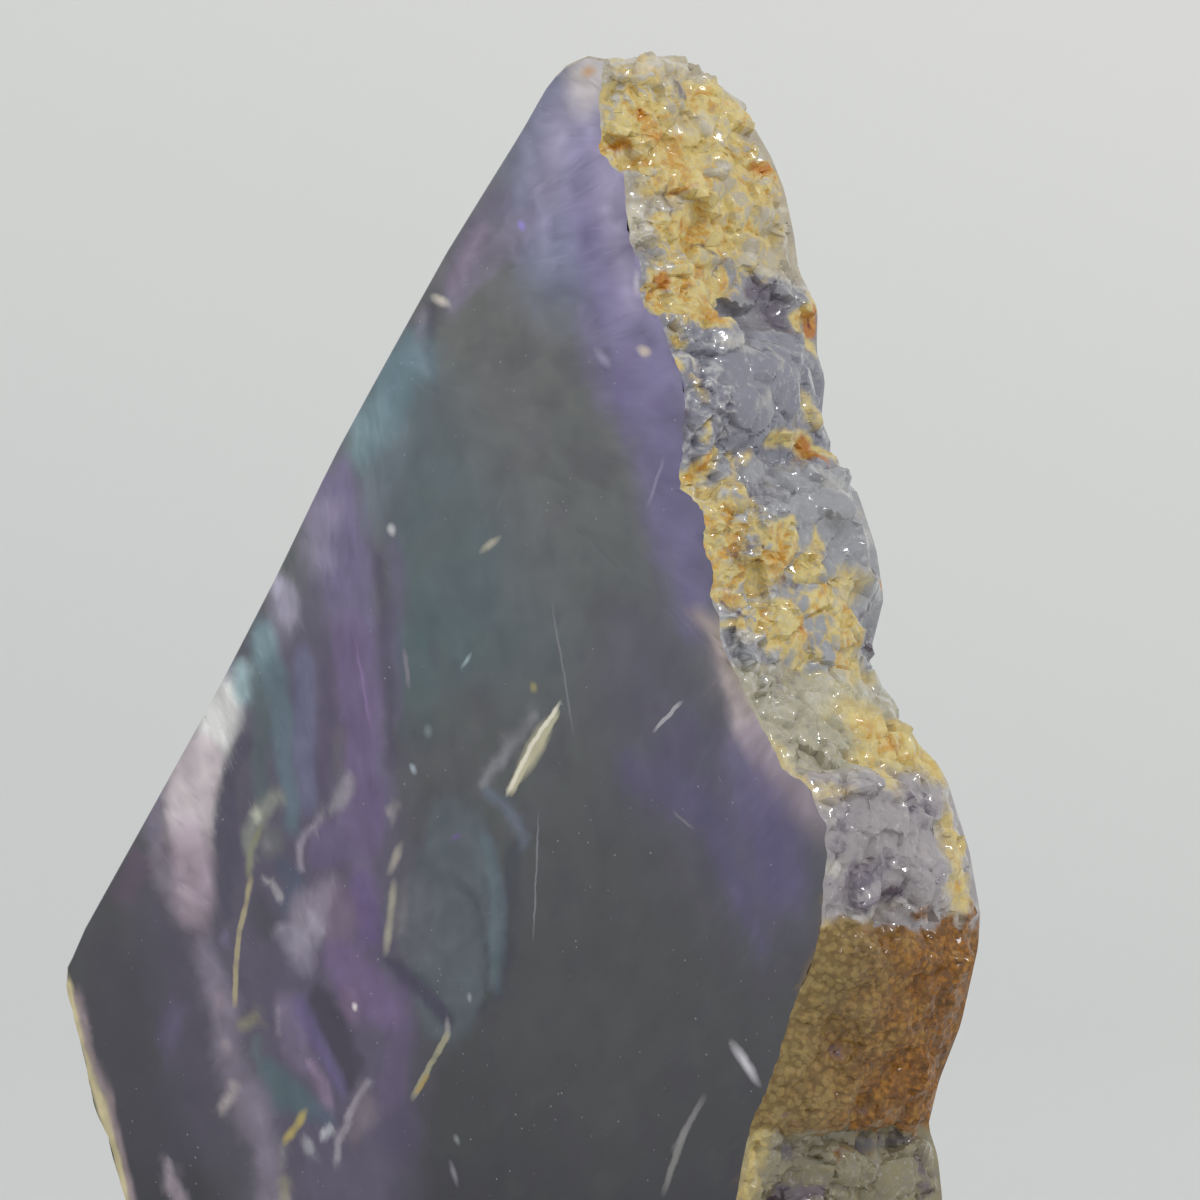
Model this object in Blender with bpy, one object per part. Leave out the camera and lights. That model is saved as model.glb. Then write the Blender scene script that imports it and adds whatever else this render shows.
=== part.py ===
"""Fluorite slice: a slab sawn from a banded nodule, standing on its sawn base.

The polished front face looks along -Y and the sawn back along +Y. The upper left side is a
straight saw cut, the lower left side is thin natural skin, and the whole right side is the
nodule's natural crust, with blocks, ledges, crystals and pits. It is one solid. Outline
points are in millimetres on the slab's faces: x to the right, z up from the base.
"""
import math
import random

import bmesh
import bpy
import numpy as np
from mathutils import Vector, noise
from mathutils.geometry import delaunay_2d_cdt

MM = 0.001
THICKNESS = 21.0  # front face to back face
TIP_HEIGHT = 110.5
ROWS = 18  # divisions across the thickness
CRUST_STATIONS = 134  # divisions up the crust, about 0.8 mm each
SAW_STATIONS = 36
SAW_EASE = 1.5  # above 1, the saw cut's stations lie closer together near the tip, which has corners
SKIN_STATIONS = 30
BASE_STATIONS = 12
FACE_GRID = 6.0  # spacing of the points inside the two flat faces
TOP_BLEND = 2.0  # above 1, the section keeps the front outline longer before it meets the back one
EDGE_FADE = 1.6  # the relief grows from nothing over this distance from the front edge, tip and base
BACK_FADE = 4.5  # and over this distance from the back edge, which is worn rounder

# The crust's hump over the tip: distance from the front face, and how far the top stands up there.
TIP_HUMP = [
    (0.0, 0.0), (2.0, -0.9), (3.6, -0.2), (8.0, 0.55), (11.0, 0.35), (14.0, -0.25), (17.0, -0.8),
    (19.0, -0.75), (21.0, -0.15)]
HUMP_FOOT = 98.0  # height at which the hump starts to grow

FRONT_CRUST = [
    (25.5, 0.0), (27.6, 9.0), (29.3, 14.9), (31.2, 21.5), (32.3, 26.0), (34.3, 29.7),
    (36.1, 34.7), (38.4, 39.4), (39.4, 42.6), (39.7, 50.3), (38.0, 53.4), (35.4, 54.6),
    (31.6, 60.4), (29.2, 64.3), (29.1, 66.3), (28.0, 67.7), (28.6, 70.0), (27.4, 71.5),
    (27.5, 74.3), (26.5, 75.4), (24.7, 76.3), (25.2, 79.0), (25.4, 84.2), (23.8, 87.8),
    (23.0, 89.8), (20.8, 90.5), (20.8, 94.6), (19.5, 95.4), (19.7, 97.3), (18.8, 101.2),
    (16.5, 102.6), (16.7, 106.9), (17.1, 110.2)]
BACK_CRUST = [
    (29.5, 0.0), (32.6, 6.7), (34.4, 12.7), (35.2, 17.7), (34.7, 21.3), (33.7, 23.7),
    (34.8, 27.5), (37.0, 32.3), (38.7, 38.7), (38.9, 41.5), (37.8, 46.4), (35.6, 51.8),
    (34.6, 53.3), (30.6, 56.3), (30.6, 57.8), (28.5, 59.6), (27.4, 60.2), (27.7, 62.2),
    (29.0, 66.5), (28.2, 70.5), (26.3, 75.0), (23.3, 77.2), (23.5, 79.0), (22.5, 80.9),
    (22.9, 84.2), (22.0, 86.4), (22.1, 90.0), (20.1, 93.0), (19.6, 96.0), (18.6, 99.6),
    (17.2, 102.4), (15.5, 104.7), (13.8, 105.8), (12.3, 106.2)]
FRONT_SAW_CUT = [
    (15.1, 110.5), (13.8, 110.1), (12.3, 109.6), (10.5, 107.6), (8.2, 104.5), (4.0, 99.4),
    (0.0, 94.5), (-7.3, 84.6), (-12.5, 77.4), (-18.9, 67.4), (-26.3, 56.6), (-42.3, 34.9),
    (-43.6, 32.4)]
BACK_SAW_CUT = [
    (11.4, 106.4), (10.4, 106.0), (8.2, 104.2), (0.0, 94.3), (-12.5, 77.2), (-26.3, 56.6),
    (-42.0, 34.9), (-43.2, 32.8)]
FRONT_SKIN = [
    (-43.8, 30.8), (-42.8, 27.9), (-41.6, 24.3), (-40.6, 20.4), (-39.0, 18.4), (-38.2, 16.0),
    (-36.8, 12.8), (-35.2, 8.0), (-33.0, 3.5), (-31.5, 0.0)]
BACK_SKIN = [
    (-43.3, 31.2), (-41.4, 27.0), (-40.8, 23.4), (-38.8, 19.5), (-37.9, 15.6), (-35.8, 11.0),
    (-34.0, 6.0), (-31.0, 0.0)]

# A block of crust: height of its upper ledge at the front edge and at the back, and how far it bulges.
BLOCKS = [
    (26.0, 23.5, 0.9), (42.5, 40.4, 2.6), (54.6, 53.0, 1.7), (62.5, 60.2, 0.5), (78.7, 77.2, 2.6),
    (90.0, 87.4, 1.3), (95.2, 91.6, 0.3), (112.0, 110.0, 2.0)]
LEDGE_WIDTH = 1.0  # height over which one block gives way to the next
GROOVE_REACH = 2.2  # distance from a ledge at which its groove has run out

# A pit in the crust: height, place across the thickness from the front face, radius and depth.
PITS = [
    (43.2, 7.0, 2.4, 1.3), (41.6, 11.8, 1.9, 1.0), (33.5, 4.2, 2.2, 1.1), (27.5, 9.0, 2.0, 0.9),
    (20.2, 5.2, 2.6, 1.4), (13.5, 12.5, 2.4, 1.1), (79.5, 4.5, 1.7, 0.8), (89.0, 9.5, 1.9, 0.8),
    (52.0, 12.5, 2.2, 0.9), (95.6, 8.0, 1.7, 0.7)]

CRYSTALS = 120
CRYSTAL_SEED = 7
CRYSTAL_HEIGHTS = (0.9, 2.1)
CRYSTAL_STEEPNESS = (0.5, 0.95)
CRYSTAL_TURN = 0.35  # how far a crystal turns from its neighbours in the same block, in radians
LUMP_SIZE = 2.6  # wavelength of the softer lumps between the crystals
LUMP_HEIGHT = 0.35
SKIN_LUMP_HEIGHT = 0.45


def mix(a, b, t):
    return a + (b - a) * t


def smooth_step(low, high, value):
    t = min(1.0, max(0.0, (value - low) / (high - low)))
    return t * t * (3.0 - 2.0 * t)


def by_height(points, count):
    """Stations at even heights along an outline that only rises."""
    xs, zs = zip(*points)
    even = np.linspace(zs[0], zs[-1], count)
    return list(zip(np.interp(even, zs, xs), even))


def by_length(points, count, ease=1.0):
    """Stations along an open outline, at even distances or closer together near its start."""
    xs, zs = zip(*points)
    spans = [math.dist(a, b) for a, b in zip(points, points[1:])]
    reach = np.concatenate(([0.0], np.cumsum(spans)))
    stops = reach[-1] * np.linspace(0.0, 1.0, count) ** ease
    return list(zip(np.interp(stops, reach, xs), np.interp(stops, reach, zs)))


def make_crystals():
    """Corners of cubes and small plates, standing out of the crust, at seeded places.

    Crystals of one block grew together, so they are turned much alike.
    """
    chance = random.Random(CRYSTAL_SEED)
    turns = [chance.uniform(0.0, math.tau) for _ in BLOCKS]
    crystals = []
    for _ in range(CRYSTALS):
        z = chance.uniform(2.0, TIP_HEIGHT - 1.5)
        block = sum(z > front for front, _, _ in BLOCKS)
        crystals.append({
            "z": z, "across": chance.uniform(1.0, THICKNESS - 1.0),
            "height": chance.uniform(*CRYSTAL_HEIGHTS),
            "turn": turns[block] + chance.uniform(-CRYSTAL_TURN, CRYSTAL_TURN),
            "steep": chance.uniform(*CRYSTAL_STEEPNESS), "plate": chance.random() < 0.4})
    return crystals


def crystal_height(crystal, z, across):
    """A cube's corner: three planes that fall away from its tip. A plate has its tip cut off."""
    dz, da = z - crystal["z"], across - crystal["across"]
    fall = max(
        dz * math.cos(crystal["turn"] + side * math.tau / 3)
        + da * math.sin(crystal["turn"] + side * math.tau / 3) for side in range(3))
    height = crystal["height"] - crystal["steep"] * fall
    return min(height, 0.55 * crystal["height"]) if crystal["plate"] else height


def block_bulge(z, across):
    """How far the block of crust at this height stands out, with a groove under each ledge."""
    share = across / THICKNESS
    bulge, groove = BLOCKS[0][2], 1.0
    for (front, back, _), (_, _, upper) in zip(BLOCKS, BLOCKS[1:]):
        ledge = mix(front, back, share)
        bulge = mix(bulge, upper, smooth_step(ledge - LEDGE_WIDTH / 2, ledge + LEDGE_WIDTH / 2, z))
        groove = min(groove, smooth_step(0.0, GROOVE_REACH, abs(z - ledge)))
    return bulge * mix(0.5, 1.0, groove) * math.sin(math.pi * share) ** 0.6


def pit_depth(z, across):
    depth = 0.0
    for pit_z, pit_across, radius, pit in PITS:
        distance = math.hypot(z - pit_z, across - pit_across) / radius
        depth = max(depth, pit * (1.0 - smooth_step(0.35, 1.0, distance)))
    return depth


def crust_relief(crystals, z, across):
    """Distance that the crust stands out of the plain blend between the two outlines."""
    lumps = noise.noise(Vector((z, across, 3.7)) / LUMP_SIZE) * LUMP_HEIGHT
    tallest = max(crystal_height(crystal, z, across) for crystal in crystals)
    relief = block_bulge(z, across) + lumps + max(0.0, tallest) - pit_depth(z, across)
    fade = smooth_step(0.0, EDGE_FADE, min(across, z, TIP_HEIGHT - z))
    return relief * fade * smooth_step(0.0, BACK_FADE, THICKNESS - across)


def skin_relief(z, across):
    lumps = noise.noise(Vector((z, across, 9.1)) / LUMP_SIZE) * SKIN_LUMP_HEIGHT
    return lumps * smooth_step(0.0, EDGE_FADE, min(across, THICKNESS - across, z))


def outward(stations, index, reach=14):
    """The outward normal in the XZ plane of the outline around a station, smoothed over its neighbours."""
    before = stations[max(0, index - reach)]
    after = stations[min(len(stations) - 1, index + reach)]
    tangent = Vector((after[0] - before[0], after[1] - before[1])).normalized()
    return Vector((tangent.y, -tangent.x))


def tip_hump(z, across):
    reach, rises = zip(*TIP_HUMP)
    return np.interp(across, reach, rises) * smooth_step(HUMP_FOOT, TIP_HEIGHT - 3.0, z)


def blend_side(front, back, relief, power):
    """Columns of points across the thickness, one column for each pair of stations."""
    columns = []
    for index, (near, far) in enumerate(zip(front, back)):
        normal = outward(front, index)
        column = []
        for row in range(ROWS + 1):
            share = row / ROWS
            across = share * THICKNESS
            x = mix(near[0], far[0], share ** power)
            z = mix(near[1], far[1], share ** power)
            out = relief(z, across)
            up = z + normal.y * out + tip_hump(z, across)
            column.append((x + normal.x * out, across, max(0.0, up)))
        columns.append(column)
    return columns


def slab_columns():
    """All columns around the slab, from the base's right corner over the top and back."""
    crystals = make_crystals()
    crust = blend_side(
        by_height(FRONT_CRUST, CRUST_STATIONS), by_height(BACK_CRUST, CRUST_STATIONS),
        lambda z, across: crust_relief(crystals, z, across), TOP_BLEND)
    saw_cut = blend_side(
        by_length(FRONT_SAW_CUT, SAW_STATIONS, SAW_EASE), by_length(BACK_SAW_CUT, SAW_STATIONS, SAW_EASE),
        lambda z, across: 0.0, TOP_BLEND)
    skin = blend_side(
        by_length(FRONT_SKIN, SKIN_STATIONS), by_length(BACK_SKIN, SKIN_STATIONS), skin_relief, 1.0)
    base = blend_side(
        by_length([FRONT_SKIN[-1], FRONT_CRUST[0]], BASE_STATIONS)[1:-1],
        by_length([BACK_SKIN[-1], BACK_CRUST[0]], BASE_STATIONS)[1:-1],
        lambda z, across: 0.0, TOP_BLEND)
    return crust + saw_cut + skin + base


def centre_on_base(bm):
    """Puts the middle of the base's box at the origin."""
    xs = [vert.co.x for vert in bm.verts]
    ys = [vert.co.y for vert in bm.verts]
    middle = Vector(((min(xs) + max(xs)) / 2, (min(ys) + max(ys)) / 2, 0.0))
    bmesh.ops.translate(bm, verts=bm.verts, vec=-middle)


def inner_points(outline):
    """A grid of points well inside an outline, so that its face has no thin triangles."""
    xs, zs = [x for x, _ in outline], [z for _, z in outline]
    points = []
    for x in np.arange(min(xs), max(xs), FACE_GRID):
        for z in np.arange(min(zs), max(zs), FACE_GRID):
            gap = min(math.hypot(x - a, z - b) for a, b in outline)
            if gap > 0.6 * FACE_GRID and is_inside(outline, x, z):
                points.append((x, z))
    return points


def is_inside(outline, x, z):
    inside = False
    for (x0, z0), (x1, z1) in zip(outline, outline[1:] + outline[:1]):
        if (z0 > z) != (z1 > z) and x < mix(x0, x1, (z - z0) / (z1 - z0)):
            inside = not inside
    return inside


def fill_face(bm, ring, across):
    """Closes one end of the slab with a flat face of even triangles."""
    outline = [(vert.co.x / MM, vert.co.z / MM) for vert in ring]
    inner = inner_points(outline)
    verts = list(ring) + [bm.verts.new(Vector((x, across, z)) * MM) for x, z in inner]
    edges = [(index, (index + 1) % len(ring)) for index in range(len(ring))]
    plan = [Vector(point) for point in outline + inner]
    _, _, triangles, origins, _, _ = delaunay_2d_cdt(plan, edges, [], 1, 1e-6)
    for triangle in triangles:
        bm.faces.new([verts[origins[corner][0]] for corner in triangle])


def make_slice():
    columns = slab_columns()
    bm = bmesh.new()
    rings = []
    for row in range(ROWS + 1):
        rings.append([bm.verts.new(Vector(column[row]) * MM) for column in columns])
    count = len(columns)
    for near, far in zip(rings, rings[1:]):
        for index in range(count):
            after = (index + 1) % count
            bm.faces.new((near[index], far[index], far[after], near[after]))
    fill_face(bm, rings[0], 0.0)
    fill_face(bm, rings[-1], THICKNESS)
    bmesh.ops.triangulate(bm, faces=bm.faces)
    bmesh.ops.recalc_face_normals(bm, faces=bm.faces)
    centre_on_base(bm)
    mesh = bpy.data.meshes.new("fluorite_slice")
    bm.to_mesh(mesh)
    bm.free()
    piece = bpy.data.objects.new("fluorite_slice", mesh)
    bpy.context.scene.collection.objects.link(piece)
    return piece


def make_fluorite():
    """Dark violet stone with a gloss; the bands and the iron stains are a matter of finish."""
    material = bpy.data.materials.new("fluorite")
    material.use_nodes = True
    shader = material.node_tree.nodes["Principled BSDF"]
    shader.inputs["Base Color"].default_value = (0.13, 0.12, 0.16, 1.0)
    shader.inputs["Roughness"].default_value = 0.2
    shader.inputs["Metallic"].default_value = 0.0
    shader.inputs["IOR"].default_value = 1.434
    return material


def main():
    for old in list(bpy.data.objects):
        bpy.data.objects.remove(old, do_unlink=True)
    piece = make_slice()
    piece.data.materials.append(make_fluorite())


main()
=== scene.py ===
import math

import bmesh
import bpy
import numpy as np
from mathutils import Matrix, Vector, noise


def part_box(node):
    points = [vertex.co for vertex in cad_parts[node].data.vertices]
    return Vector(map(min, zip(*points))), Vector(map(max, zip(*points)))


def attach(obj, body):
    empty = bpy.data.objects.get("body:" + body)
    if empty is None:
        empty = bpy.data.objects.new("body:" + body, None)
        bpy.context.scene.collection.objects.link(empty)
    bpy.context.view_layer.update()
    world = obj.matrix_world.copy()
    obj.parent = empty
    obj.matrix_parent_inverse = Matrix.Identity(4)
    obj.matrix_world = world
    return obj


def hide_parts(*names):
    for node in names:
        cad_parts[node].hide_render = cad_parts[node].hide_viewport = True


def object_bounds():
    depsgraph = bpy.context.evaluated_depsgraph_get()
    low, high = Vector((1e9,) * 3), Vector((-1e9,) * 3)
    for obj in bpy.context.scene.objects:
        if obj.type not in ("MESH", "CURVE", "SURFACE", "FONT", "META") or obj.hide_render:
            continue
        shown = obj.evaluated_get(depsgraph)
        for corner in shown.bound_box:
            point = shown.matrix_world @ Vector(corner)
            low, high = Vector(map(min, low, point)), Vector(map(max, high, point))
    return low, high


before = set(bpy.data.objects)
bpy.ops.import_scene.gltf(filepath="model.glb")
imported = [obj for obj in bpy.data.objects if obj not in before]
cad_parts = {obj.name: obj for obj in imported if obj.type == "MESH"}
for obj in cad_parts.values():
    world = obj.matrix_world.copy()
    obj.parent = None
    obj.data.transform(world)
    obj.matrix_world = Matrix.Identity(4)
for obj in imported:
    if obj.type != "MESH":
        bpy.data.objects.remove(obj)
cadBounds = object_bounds()
mm = 0.001
noise.seed_set(3)      # any fixed number: noise_vector then gives the same on every run
faceY, backY = (round(corner[1] / mm, 2) for corner in cadBounds)     # mm: the polished face and the back
print("frame loaded")


# Material maths: a Value is a socket on its way through a material's nodes

class Value:
    def __init__(self, recipe, socket):
        self.recipe, self.socket = recipe, socket

    def maths(self, operation, *values, clamp=False):
        return self.recipe.node("Math", {"operation": operation, "use_clamp": clamp}, dict(enumerate(values)))

    def __add__(self, other): return self.maths("ADD", self, other)
    def __radd__(self, other): return self.maths("ADD", other, self)
    def __sub__(self, other): return self.maths("SUBTRACT", self, other)
    def __rsub__(self, other): return self.maths("SUBTRACT", other, self)
    def __mul__(self, other): return self.maths("MULTIPLY", self, other)
    def __truediv__(self, other): return self.maths("DIVIDE", self, other)

    def clamped(self): return self.maths("ADD", self, 0.0, clamp=True)

    def rise(self, low, high):
        # 0 below low, 1 above high, smooth between; low above high turns it round
        ends = (1.0, 0.0) if low > high else (0.0, 1.0)
        return self.recipe.node("MapRange", {"interpolation_type": "SMOOTHSTEP"}, {
            "Value": self, "From Min": min(low, high), "From Max": max(low, high),
            "To Min": ends[0], "To Max": ends[1]})


class Recipe:
    def __init__(self, name):
        self.material = bpy.data.materials.new(name)
        self.material.use_nodes = True
        self.tree = self.material.node_tree
        self.shader = self.tree.nodes["Principled BSDF"]

    def node(self, kind, settings=None, inputs=None, output=0):
        made = self.tree.nodes.new("ShaderNode" + kind)
        for name, value in (settings or {}).items():
            setattr(made, name, value)
        for name, value in (inputs or {}).items():
            self.feed(made.inputs[name], value)
        return Value(self, made.outputs[output])

    def feed(self, socket, value):
        if isinstance(value, Value):
            self.tree.links.new(value.socket, socket)
        elif socket.type == "RGBA" and len(value) == 3:
            socket.default_value = (*value, 1.0)
        else:
            socket.default_value = value

    def vector(self, operation, *values):
        output = 1 if operation in ("DOT_PRODUCT", "DISTANCE", "LENGTH") else 0
        return self.node("VectorMath", {"operation": operation}, dict(enumerate(values)), output)

    def mix(self, share, first, second, how="MIX"):
        return self.node("Mix", {"data_type": "RGBA", "blend_type": how, "clamp_factor": True},
                         {0: share, 6: first, 7: second}, 2)

    def grain(self, place, size, detail=3.0, roughness=0.55, stretch=(1.0, 1.0, 1.0), offset=0.0):
        # even noise from 0 to 1, with size in mm as the width of its lumps
        scaled = self.vector("MULTIPLY_ADD", place, tuple(s / size for s in stretch), (offset,) * 3)
        return self.node("TexNoise", {"noise_dimensions": "3D"}, {
            "Vector": scaled, "Scale": 1.0, "Detail": detail, "Roughness": roughness})

    def warped(self, place, size, reach, offset=0.0):
        # the place pushed about by up to reach mm, in lumps of size mm
        scaled = self.vector("MULTIPLY_ADD", place, (1 / size,) * 3, (offset,) * 3)
        push = self.node("TexNoise", {"noise_dimensions": "3D"}, {
            "Vector": scaled, "Scale": 1.0, "Detail": 2.0}, 1)
        centred = self.vector("SUBTRACT", push, (0.5, 0.5, 0.5))
        return self.vector("MULTIPLY_ADD", centred, (2.4 * reach,) * 3, place)

    def attribute(self, name):
        # a colour kept on the mesh's points, and the fourth number kept with it
        colour = self.node("Attribute", {"attribute_name": name})
        return colour, Value(self, colour.socket.node.outputs["Alpha"])

    def parts(self, colour):
        split = self.node("SeparateColor", {}, {0: colour})
        return [Value(self, split.socket.node.outputs[index]) for index in range(3)]

    def sliver(self, place, start, end, width, soft, strength):
        # the strength inside a long thin ellipse from start to end on the face, (x, z) in mm
        (x0, z0), (x1, z1) = start, end
        half, depth = max(math.hypot(x1 - x0, z1 - z0) / 2, width), 3.0
        turned = self.node("Mapping", {"vector_type": "TEXTURE"}, {
            "Vector": place, "Location": ((x0 + x1) / 2, faceY, (z0 + z1) / 2),
            "Rotation": (0.0, -math.atan2(z1 - z0, x1 - x0), 0.0), "Scale": (half, depth, 1.25 * width)})
        if half > 5 * width:
            turned = self.vector("MULTIPLY", turned, turned)    # longer ones have blunter ends
        return self.node("MapRange", {}, {
            "Value": self.vector("LENGTH", turned), "To Max": strength,
            "From Min": 1.0 + 0.9 * soft, "From Max": 1.0 - 0.95 * soft})

    def place(self):
        # mm, in the part's own frame
        coordinate = self.node("TexCoord", output=3)
        return self.node("VectorMath", {"operation": "SCALE"}, {0: coordinate, "Scale": 1000.0})


# The camera and the room

cameraSettings = {
    "azimuth": 40.0, "elevation": 4.0,     # degrees, as the photograph sees the slab
    "distance": 553.0, "lens": 200.0,      # mm
    "target": (5.04, 3.9, 65.6),           # mm
    "nearest": 0.01, "furthest": 20.0,     # m
}
room = {
    "floorReach": 900.0, "width": 2880.0, "wallBehind": 520.0, "wallHeight": 1500.0,   # mm
    "sweepRadius": 300.0, "sweepSteps": 12,
    # the paper's two colours and the spans over which its painted light grows lighter up and across
    "floorColour": (0.705, 0.715, 0.71), "wallColour": (0.83, 0.825, 0.805), "dullness": 0.9,
    "lighterUp": 150.0, "lighterAcross": 480.0, "lighterTowards": 130.0,      # mm, mm and degrees
    "worldColour": (0.98, 1.0, 1.0), "worldStrength": 0.68,
}
softboxes = {    # azimuth and elevation in degrees; distance, width and height in mm; radiance
    "faceVeil": (-42.0, 12.0, 1100.0, 900.0, 760.0, 0.9),
    "crustKey": (82.0, 44.0, 800.0, 125.0, 125.0, 34.0),
}
lampsAimAt = (0.0, 0.0, 60.0)      # mm


def viewDirection(azimuth, elevation):
    a, e = math.radians(azimuth), math.radians(elevation)
    return Vector((math.sin(a) * math.cos(e), -math.cos(a) * math.cos(e), math.sin(e)))


def makeCamera(settings):
    data = bpy.data.cameras.new("camera")
    data.lens = settings["lens"]
    data.clip_start, data.clip_end = settings["nearest"], settings["furthest"]
    camera = bpy.data.objects.new("camera", data)
    towards = viewDirection(settings["azimuth"], settings["elevation"])
    camera.location = Vector(settings["target"]) * mm + towards * settings["distance"] * mm
    camera.rotation_euler = towards.to_track_quat("Z", "Y").to_euler()
    bpy.context.scene.collection.objects.link(camera)
    bpy.context.scene.camera = camera


def makePaper(settings):
    # a little lighter higher up and to the right, as in the photograph
    # painted light: the paper's own colour is lighter higher up and to the right
    recipe = Recipe("backdropPaper")
    place = recipe.place()
    rightward = tuple(viewDirection(settings["lighterTowards"], 0.0))
    share = recipe.vector("DOT_PRODUCT", place, (0.0, 0.0, 1.0)) / settings["lighterUp"]
    share = share + recipe.vector("DOT_PRODUCT", place, rightward) / settings["lighterAcross"]
    colour = recipe.mix(share.clamped(), settings["floorColour"], settings["wallColour"])
    recipe.feed(recipe.shader.inputs["Base Color"], colour)
    recipe.shader.inputs["Roughness"].default_value = settings["dullness"]
    # the sheet is seen from its front only, so that it hides nothing from behind
    recipe.feed(recipe.shader.inputs["Alpha"], 1.0 - recipe.node("NewGeometry", output=6))
    return recipe.material


def makeBackdrop(settings):
    # a floor that sweeps up into a wall behind the slab, turned to face the camera
    bm = bmesh.new()
    behind, radius, steps = settings["wallBehind"], settings["sweepRadius"], settings["sweepSteps"]
    profile = [(-settings["floorReach"], 0.0), (behind - radius, 0.0)]
    for step in range(1, steps + 1):
        angle = step / steps * math.pi / 2
        profile.append((behind - radius + radius * math.sin(angle), radius - radius * math.cos(angle)))
    profile.append((behind, settings["wallHeight"]))
    left = -settings["width"] / 2
    line = [bm.verts.new(Vector((left, along, height)) * mm) for along, height in profile]
    edges = [bm.edges.new(pair) for pair in zip(line, line[1:])]
    swept = bmesh.ops.extrude_edge_only(bm, edges=edges)["geom"]
    moved = [item for item in swept if isinstance(item, bmesh.types.BMVert)]
    bmesh.ops.translate(bm, verts=moved, vec=Vector((settings["width"], 0.0, 0.0)) * mm)
    turn = Vector((0.0, -1.0, 0.0)).rotation_difference(viewDirection(cameraSettings["azimuth"], 0.0))
    bmesh.ops.rotate(bm, verts=bm.verts, cent=(0, 0, 0), matrix=turn.to_matrix())
    bmesh.ops.recalc_face_normals(bm, faces=bm.faces)
    bmesh.ops.reverse_faces(bm, faces=bm.faces)     # towards the slab
    mesh = bpy.data.meshes.new("backdrop")
    bm.to_mesh(mesh)
    bm.free()
    mesh.shade_smooth()
    backdrop = bpy.data.objects.new("backdrop", mesh)
    bpy.context.scene.collection.objects.link(backdrop)
    mesh.materials.append(makePaper(settings))


def makeSoftbox(name, azimuth, elevation, distance, width, height, radiance):
    data = bpy.data.lights.new(name, "AREA")
    data.shape = "RECTANGLE"
    data.size, data.size_y = width * mm, height * mm
    data.energy = radiance * math.pi * data.size * data.size_y
    light = bpy.data.objects.new(name, data)
    towards = viewDirection(azimuth, elevation)
    light.location = Vector(lampsAimAt) * mm + towards * distance * mm
    light.rotation_euler = towards.to_track_quat("Z", "Y").to_euler()
    bpy.context.scene.collection.objects.link(light)


def makeWorld(settings):
    world = bpy.data.worlds.new("studio")
    world.use_nodes = True
    background = world.node_tree.nodes["Background"]
    background.inputs["Color"].default_value = (*settings["worldColour"], 1.0)
    background.inputs["Strength"].default_value = settings["worldStrength"]
    bpy.context.scene.world = world


makeCamera(cameraSettings)
makeBackdrop(room)
makeWorld(room)
for softbox, figures in softboxes.items():
    makeSoftbox(softbox, *figures)
bpy.context.scene.view_settings.view_transform = "Standard"
print("camera, backdrop and lights made")


# Painting: tones of the photograph laid over the mesh's points

def linear(level):
    level /= 255.0
    return level / 12.92 if level < 0.04045 else ((level + 0.055) / 1.055) ** 2.4


def linearTone(tone):
    return np.array([linear(level) for level in tone])


def seen(red, green, blue, veil=0.035, light=0.74):
    # the base colour that comes out as this tone under the room's light
    return tuple(min(max(0.004, (linear(level) - veil) / light), 0.93) for level in (red, green, blue))


def smoothStep(low, high, value):
    t = np.clip((value - low) / (high - low), 0.0, 1.0)
    return t * t * (3.0 - 2.0 * t)


def lay(colour, mask, tone):
    return colour + mask[:, None] * (np.asarray(tone) - colour)


def widthsOf(points, widths):
    # a mark with one number has that half width all along
    return widths if isinstance(widths, tuple) else (widths,) * len(points)


def strokeGap(spots, points, widths):
    # how far each spot is outside a line of changing half width, mm; less than 0 inside
    widths = widthsOf(points, widths)
    if len(points) == 1:
        return np.linalg.norm(spots - np.array(points[0]), axis=1) - widths[0]
    gap = np.full(len(spots), np.inf)
    for start, end, wide, nextWide in zip(points, points[1:], widths, widths[1:]):
        run = np.subtract(end, start)
        along = np.clip((spots - start) @ run / max(run @ run, 1e-6), 0.0, 1.0)
        away = np.linalg.norm(spots - start - along[:, None] * run, axis=1)
        gap = np.minimum(gap, away - wide - along * (nextWide - wide))
    return gap


def cloud(points, size, offset=0.0, octaves=3, stretch=(1.0, 1.0, 1.0)):
    # even noise about 0 at each point, in lumps of size mm
    scaled = np.asarray(points) * np.array(stretch) / size + offset
    return np.array([noise.fractal(spot, 1.0, 2.0, octaves) for spot in scaled])


def pushed(points, size, reach, offset=0.0):
    scaled = np.asarray(points) / size + offset
    return points + np.array([noise.noise_vector(spot) for spot in scaled]) * reach


# The polished face, the sawn sides and the back: banded stone.
# Broad marks: points (x, z) in mm, half width at each or all along, softness, tone, strength.
# Fine marks: their ends, half width in the middle, softness as a share of it, tone, strength.

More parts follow.
